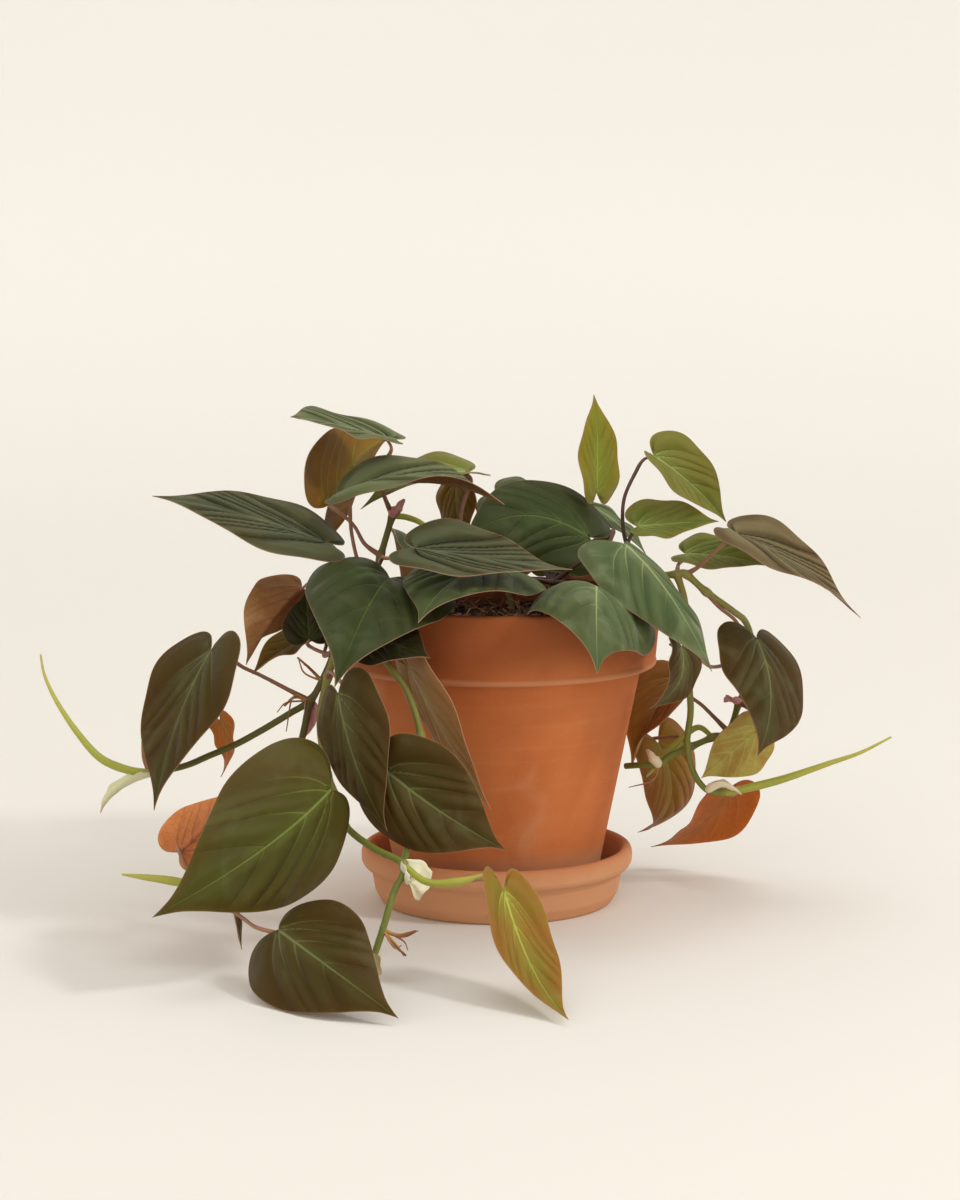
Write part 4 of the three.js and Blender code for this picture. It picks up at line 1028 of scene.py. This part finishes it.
limbs = {
    "stemRadius": 1.45,
    "stemTaper": [1.04, 1, 0.94],
    "petioleRadius": 0.9,
    "petioleTaper": [1.5, 1.02, 0.9, 0.88, 0.95, 0.4],
    "petioleReach": 5,
    "spacing": 1.3,  # between the rings of a limb
    "sides": 10,
    "lumps": 420.0,  # how closely the unevenness of the skin follows
    "knobble": 0.16,  # and its height
    "blotchScale": 70,
    "speckScale": 900,
    "nodeSwell": 0.42,  # share that a stem thickens by at a node
    "nodeLength": 2.3,
    "rootletsEach": 2,
    "rootletRadii": [0.5, 0.38, 0.2],
    "rootletDrift": 4.2,  # how far a rootlet's end strays from the root beside it
    "seed": 7,
}
limbKinds = {"stem": 0, "petiole": 1, "tip": 2, "root": 3}
limbFields = ["thickness", "share", "near", "kind"]
darkVines = {"centre", "right_upright"}


def petioleRoute(name):
    leaf = leafPlacing(leaves[name])
    forward, out, normal = (axis[0] for axis in midribAxes(leaf, np.zeros(1)))
    under = leaf["notch"] - normal * (blade["thickness"] + 0.5 * limbs["petioleRadius"])
    bend = under - 0.6 * limbs["petioleReach"] * (forward + normal) - 0.4 * normal
    return [*petioles[name][1], bend, under - 0.3 * forward, under + 2.2 * forward]


# One limb: its middle line with the radius, kind, share of its length and nearness to a node there
def limbLine(route, radii, kind, joints=()):
    rough = smoothPath(route, 12 * len(route))
    steps = np.linalg.norm(np.diff(rough, axis=0), axis=1)
    run = np.concatenate([[0], np.cumsum(steps)])
    count = max(4, math.ceil(run[-1] / limbs["spacing"]))
    place = np.linspace(0, run[-1], count + 1)
    line = np.stack([np.interp(place, run, rough[:, axis]) for axis in range(3)], axis=1)
    share = place / run[-1]
    radius = np.interp(share, np.linspace(0, 1, len(radii)), radii)
    near = np.zeros(len(line))
    for joint in joints:
        apart = np.linalg.norm(line - np.array(joint), axis=1)
        near = np.maximum(near, np.exp(-(apart / limbs["nodeLength"]) ** 2))
    return {"line": line, "thickness": radius * (1 + limbs["nodeSwell"] * near), "share": share, "near": near,
            "kind": np.full(len(line), limbKinds[kind])}


def vineLimbs(name, vine, chance):
    carried = [leaf for leaf, (carrier, route) in petioles.items() if carrier == name]
    branches, tips = vine.get("branches", []), vine.get("tips", [])
    joints = [petioles[leaf][1][0] for leaf in carried]
    joints += [route[0] for route in branches] + [route[0] for route, radii in tips]
    stemRadii = [limbs["stemRadius"] * part for part in limbs["stemTaper"]]
    petioleRadii = [limbs["petioleRadius"] * part for part in limbs["petioleTaper"]]
    made = [limbLine(route, stemRadii, "stem", joints) for route in [vine["rooted"], *branches]]
    made += [limbLine(petioleRoute(leaf), petioleRadii, "petiole") for leaf in carried]
    made += [limbLine(route, radii, "tip") for route, radii in tips]
    for route, radii in vine.get("roots", []):
        made.append(limbLine(route, radii, "root"))
        stray = np.linspace(0, limbs["rootletDrift"], len(route))[:, None]
        for _ in range(limbs["rootletsEach"]):
            bent = np.array(route, float) + chance.normal(0, 1, (len(route), 3)) * stray
            made.append(limbLine(bent, limbs["rootletRadii"], "root"))
    return made


def limbForm(graph, inputs):
    def named(label):
        return graph.wire("GeometryNodeInputNamedAttribute", {"data_type": "FLOAT"}, {"Name": label})

    line = graph.wire("GeometryNodeMeshToCurve", None, {"Mesh": inputs["Geometry"]})
    ring = {"Resolution": inputs["Sides"], "Radius": 1.0}
    circle = graph.wire("GeometryNodeCurvePrimitiveCircle", None, ring)
    swept = graph.wire("GeometryNodeCurveToMesh", None, {
        "Curve": line, "Profile Curve": circle, "Scale": named("thickness"), "Fill Caps": True})
    lumps = graph.noise(graph.position(), inputs["Lumps"]) - 0.5
    normal = graph.wire("GeometryNodeInputNormal")
    shaped = graph.moved(swept, Offset=graph.vectorMaths("SCALE", normal, Scale=lumps * inputs["Knobble"]))
    shaped = graph.wire("GeometryNodeSetShadeSmooth", None, {"Geometry": shaped})
    for label, number in limbKinds.items():
        chosen = graph.maths("COMPARE", named("kind"), number, 0.5)
        shaped = graph.clad(shaped, inputs[label], Selection=chosen)
    return shaped


limbTree = geometryTree("limb_form", {
    "Sides": ("Int", 10), "Lumps": ("Float", 400.0), "Knobble": ("Float", 0.0),
    **{label: ("Material", None) for label in limbKinds},
}, limbForm)


# A skin streaked along the limb, paler or darker toward its end, with scarred rings at the nodes
def limbFinish(name, low, high, ring, roughness=0.5):
    def describe(graph):
        place = graph.objectPlace()
        share, near = graph.attribute("share"), graph.attribute("near")
        broad = graph.noise(place, limbs["blotchScale"], 3, 0.5)
        speck = graph.noise(place, limbs["speckScale"], 3)
        base = graph.mixed(graph.smooth(share + 0.6 * (broad - 0.5), 0.1, 0.9), colour(low), colour(high))
        base = graph.mixed(graph.smooth(speck, 0.55, 0.72) * 0.35, base, colour(ring))
        base = graph.mixed(graph.smooth(near, 0.45, 0.95) * 0.6, base, colour(ring))
        relief = speck * 0.5 + broad * 0.6 + graph.smooth(near, 0.6, 0.95) * 0.8
        return {"Base Color": base, "Roughness": roughness + 0.15 * broad, "Specular IOR Level": 0.45,
                "Normal": graph.bump(relief, 0.0003, 0.5)}

    return finish(name, describe)


limbSkins = {
    "green": limbFinish("stem_green", "88803a", "727a2e", "988a50"),
    "russet": limbFinish("stem_russet", "57501f", "635f22", "7c5c38"),
    "dusky": limbFinish("petiole_dusky", "4a3228", "6a4a3c", "74503e"),
    "petiole": limbFinish("petiole_rosy", "8c6048", "a6785c", "ae8264"),
    "tip": limbFinish("growing_tip", "9ca036", "b4b04e", "c8b86c", 0.42),
    "root": limbFinish("aerial_root", "b98a4e", "8f5a38", "c9a070", 0.7),
}


def makeVine(name, vine, chance):
    made = vineLimbs(name, vine, chance)
    line = np.concatenate([limb["line"] for limb in made]) * mm
    starts = np.cumsum([0, *(len(limb["line"]) for limb in made)])
    edges = [(k, k + 1) for first, last in zip(starts, starts[1:]) for k in range(first, last - 1)]
    piece = meshPiece(f"vine_{name}_limbs", line, [], [], edges=edges)
    fields = {key: np.concatenate([limb[key] for limb in made]) for key in limbFields}
    fields["thickness"] *= mm
    paintFields(piece.data, fields)
    stalk = "dusky" if name in darkVines else "petiole"
    grow(piece, limbTree, {
        "Sides": limbs["sides"], "Lumps": limbs["lumps"], "Knobble": limbs["knobble"] * mm,
        "stem": limbSkins[vine["tone"]], "petiole": limbSkins[stalk],
        "tip": limbSkins["tip"], "root": limbSkins["root"],
    })
    seat(piece, "vine_" + name, "vine")


# Papery sheaths, cupped round the place that they grow from
sheath = {
    "steps": 26,
    "columns": 14,
    "thickness": 0.22,
    "wrap": 2.3,  # radians to each side of the middle at the base
    "open": 0.9,  # and at the end
    "breadth": 1.35,
    "ragged": 0.16,
    "raggedSteps": 9,
    "frill": 0.3,  # height of the waves along its edges
    "frills": 9,
    "veinScale": (9, 0.8),  # across and along
    "blotchScale": 240,
    "fibre": "f6f2dc",
    "withered": "b98a62",
    "hues": {
        "left": ["dfe0b4", "d88090"],
        "front": ["f0ecd0", "e2cfa8"],
        "crown": ["c87676"],
        "right": ["c98a70", "e8dcb8", "eadfbe", "d8868c"],
        "back": ["d8b48c"],
    },
}


def sheathFinish(name, hue):
    def describe(graph):
        place = graph.objectPlace()
        share, across = graph.attribute("share"), graph.attribute("across")
        wide, long = sheath["veinScale"]
        veins = graph.noise(graph.vector(X=across * wide, Y=share * long), 3, 3)
        broad = graph.noise(place, sheath["blotchScale"], 3, 0.8)
        base = graph.mixed(graph.smooth(veins, 0.42, 0.7) * 0.5, colour(hue), colour(sheath["fibre"]))
        old = graph.smooth(share + 0.5 * broad, 0.8, 1.4) * 0.55
        base = graph.mixed(old, base, colour(sheath["withered"]))
        relief = veins + broad * 0.6
        return {"Base Color": base, "Roughness": 0.5 + 0.2 * broad, "Specular IOR Level": 0.4,
                "Normal": graph.bump(relief, 0.0004, 0.6)}

    return finish(name, describe)


# Directions across a route that turn with it as little as they can
def routeFrames(line):
    along = unit(np.gradient(line, axis=0))
    start = np.cross(along[0], [0, 0, 1])
    if np.linalg.norm(start) < 0.2:
        start = np.cross(along[0], [0, 1, 0])
    across = [unit(start)]
    for direction in along[1:]:
        level = across[-1] - across[-1].dot(direction) * direction
        across.append(unit(level))
    across = np.array(across)
    return across, np.cross(along, across)


def makeSheath(name, node, route, radii, material, chance):
    steps, columns = sheath["steps"], sheath["columns"]
    line = smoothPath(route, steps + 1)
    share = np.linspace(0, 1, steps + 1)
    radius = np.interp(share, np.linspace(0, 1, len(radii)), radii) * sheath["breadth"]
    wrap = sheath["wrap"] + (sheath["open"] - sheath["wrap"]) * share ** 0.7
    torn = sheath["raggedSteps"]
    ragged = 1 + sheath["ragged"] * np.interp(share, np.linspace(0, 1, torn), chance.uniform(-1, 1, torn))
    across, up = routeFrames(line)
    place = np.linspace(-1, 1, columns + 1)
    angle = (wrap * ragged)[:, None] * place[None, :]
    swell = radius[:, None] / np.maximum(np.sin(np.minimum(wrap, math.pi / 2)), 0.45)[:, None]
    spoke = across[:, None] * np.sin(angle)[..., None] + up[:, None] * np.cos(angle)[..., None]
    centre = line[:, None] - up[:, None] * (swell - radius[:, None])[..., None]
    frill = sheath["frill"] * np.sin(sheath["frills"] * share)[:, None] * place ** 2
    outer = centre + spoke * (swell + frill)[..., None]
    inner = outer - spoke * sheath["thickness"]
    number = np.arange((steps + 1) * (columns + 1)).reshape(steps + 1, columns + 1)
    back = number + number.size
    rim = np.array([*number[0, :], *number[1:, -1], *number[-1, -2::-1], *number[-2:0:-1, 0]])
    after = np.roll(rim, -1)
    walls = np.stack([after, rim, rim + number.size, after + number.size], -1)
    faces = np.concatenate([gridFaces(number), gridFaces(back)[:, [0, 3, 2, 1]], walls])
    vertices = np.concatenate([outer.reshape(-1, 3), inner.reshape(-1, 3)]) * mm
    piece = meshPiece(name, vertices, faces, [material])
    fields = {"share": share[:, None], "across": place}
    paintFields(piece.data, {key: np.broadcast_to(fields[key], number.shape) for key in fields}, 2)
    seat(piece, node, "vine")


chance = np.random.default_rng(limbs["seed"])
for name, vine in vines.items():
    makeVine(name, vine, chance)
    for k, (route, radii) in enumerate(vine.get("sheaths", [])):
        label = f"vine_{name}_sheath_{k + 1}"
        skin = sheathFinish(label + "_skin", sheath["hues"][name][k])
        makeSheath(label, "vine_" + name, route, radii, skin, chance)
print("vines made:", len(vines))


# Soil: a settled body, with crumbs, bark chips and fibres on it
soil = {
    "below": [(0, 12.4), (37.6, 12.4), (40.6, 22), (56.2, 98), (62.2, 112)],  # radius and height
    "top": 121,
    "relief": 2.4,
    "rimDrop": 2,
    "wall": 63.1,
    "flatTo": 55,  # radius from which it levels out toward the wall
    "rings": 42,
    "spokes": 96,
    "roughFrom": (0.1135, 0.118),  # heights in metres between which the top grows rough
    "roughScale": 190,
    "roughness": 0.004,
    "strewnFrom": 0.1165,
    "seed": 3,
    "fibreLength": 0.014,
    "fibreRadius": 0.00032,
}
# What lies on it: how many to the square metre, the least and most stretch of one, how high it lies, how
# closely and how far it is roughened, and its step in the seeds
strewn = {
    "crumbs": [130000.0, (0.35, 0.35, 0.3), (1.3, 1.2, 0.9), 0.0, 700, 0.0012, 0],
    "chips": [14000.0, (1.4, 0.7, 0.3), (3.6, 1.6, 0.7), 0.0006, 420, 0.0016, 5],
    "fibres": [16000.0, (0.5, 1, 1), (1.5, 1, 1), 0.0012, 130, 0.008, 9],
}
# Its finishes: two colours and how closely they mottle
grounds = {
    "earth": ("2a1f18", "4a382a", 300),
    "bark": ("4e3626", "7a5840", 160),
    "fibre": ("6a4a34", "967050", 200),
}


# Height of the settled top, lumpy in the middle and level at the wall
def soilTop(x, y, radius):
    lumps = math.sin(x * 0.31 + 1.3 * math.sin(y * 0.17)) * math.cos(y * 0.27 + x * 0.09)
    settled = soil["top"] + soil["relief"] * lumps
    rim = easeBetween(radius, soil["flatTo"], soil["wall"])
    return settled + rim * (soil["top"] - soil["rimDrop"] - settled)


def soilBody():
    spokes = soil["spokes"]
    radii = list(np.linspace(0, 1, soil["rings"] + 1) * soil["wall"])[::-1]
    vertices = []
    for radius, height in [*soil["below"], *((r, None) for r in radii)]:
        for spoke in range(spokes):
            turn = 2 * math.pi * spoke / spokes
            x, y = radius * math.cos(turn), radius * math.sin(turn)
            z = soilTop(x, y, radius) if height is None else height
            vertices.append((x * mm, y * mm, z * mm))
    faces = []
    for low in range(0, len(vertices) - spokes, spokes):
        for spoke in range(spokes):
            a, b = low + spoke, low + (spoke + 1) % spokes
            faces.append((a, b, b + spokes, a + spokes))
    piece = meshPiece("soil_mix", vertices, faces, [])
    weldSeams(piece.data)
    return piece


def soilForm(graph, inputs):
    position = graph.position()
    height = graph.heightOf(position)
    onTop = graph.smooth(height, *soil["roughFrom"])
    coarse = graph.noise(position, soil["roughScale"], 4, 0.5) - 0.5
    ground = graph.moved(inputs["Geometry"], Offset=graph.vector(Z=coarse * onTop * soil["roughness"]))
    ground = graph.clad(ground, inputs["earth"])

    # One kind of crumb: its shape on random spots of the top, turned, stretched and roughened
    def scattered(kind, shape):
        low, high, lift, scale, amount, place = strewn[kind][1:]
        seed = inputs["Seed"] + place if place else inputs["Seed"]
        spots = graph.wire("GeometryNodeDistributePointsOnFaces", None, {
            "Mesh": ground, "Selection": graph.maths("GREATER_THAN", height, soil["strewnFrom"]),
            "Density": inputs[kind], "Seed": seed})
        points = graph.moved(spots, Offset=graph.vector(Z=lift))
        tilt = graph.wire("FunctionNodeRandomValue", {"data_type": "FLOAT_VECTOR"}, {
            0: (-0.5, -0.5, 0), 1: (0.5, 0.5, 6.283), "Seed": seed + 1})
        stretch = graph.wire("FunctionNodeRandomValue", {"data_type": "FLOAT_VECTOR"}, {
            0: low, 1: high, "Seed": seed + 2})
        turned = graph.wire("FunctionNodeEulerToRotation", None, {0: tilt})
        placed = graph.wire("GeometryNodeInstanceOnPoints", None, {
            "Points": points, "Instance": shape, "Rotation": turned, "Scale": stretch})
        real = graph.wire("GeometryNodeRealizeInstances", None, {0: placed})
        jitter = graph.wire("ShaderNodeTexNoise", None, {"Vector": position, "Scale": scale}, "Color")
        centred = graph.vectorMaths("SUBTRACT", jitter, (0.5, 0.5, 0.4))  # a little upward
        return graph.moved(real, Offset=graph.vectorMaths("SCALE", centred, Scale=amount))

    ball, finer = [graph.wire("GeometryNodeMeshIcoSphere", None, {"Radius": mm, "Subdivisions": level})
                   for level in (1, 2)]
    crumbs = graph.clad(scattered("crumbs", ball), inputs["earth"])
    chips = graph.clad(scattered("chips", finer), inputs["bark"])
    ends = {"Start": (-soil["fibreLength"] / 2, 0, 0), "End": (soil["fibreLength"] / 2, 0, 0)}
    straw = graph.wire("GeometryNodeCurvePrimitiveLine", None, ends)
    straw = graph.wire("GeometryNodeResampleCurve", None, {"Curve": straw, "Count": 10})
    ring = {"Resolution": 5, "Radius": soil["fibreRadius"]}
    thread = graph.wire("GeometryNodeCurvePrimitiveCircle", None, ring)
    fibres = graph.wire("GeometryNodeCurveToMesh", None, {
        "Curve": scattered("fibres", straw), "Profile Curve": thread, "Fill Caps": True})
    join = graph.node("GeometryNodeJoinGeometry")
    for part in (ground, crumbs, chips, graph.clad(fibres, inputs["fibre"])):
        graph.tree.links.new(part.socket, join.inputs[0])
    return Wire(graph, join.outputs[0])


def groundFinish(name, low, high, scale):
    def describe(graph):
        place = graph.objectPlace()
        broad, fine = graph.noise(place, scale, 4, 0.5), graph.noise(place, scale * 5, 3)
        base = graph.mixed(graph.smooth(broad, 0.35, 0.65), colour(low), colour(high))
        return {"Base Color": base, "Roughness": 0.85 + 0.1 * fine, "Specular IOR Level": 0.2,
                "Normal": graph.bump(broad + fine, 0.0006, 0.8)}

    return finish(name, describe)


soilTree = geometryTree("potting_mix", {
    "Seed": ("Int", 0),
    **{kind: ("Float", 100.0) for kind in strewn},
    **{name: ("Material", None) for name in grounds},
}, soilForm)
mix = grow(soilBody(), soilTree, {
    "Seed": soil["seed"],
    **{kind: row[0] for kind, row in strewn.items()},
    **{name: groundFinish("soil_" + name, *look) for name, look in grounds.items()},
})
seat(mix, "soil", "soil")
print("soil made:", len(mix.data.polygons), "faces")
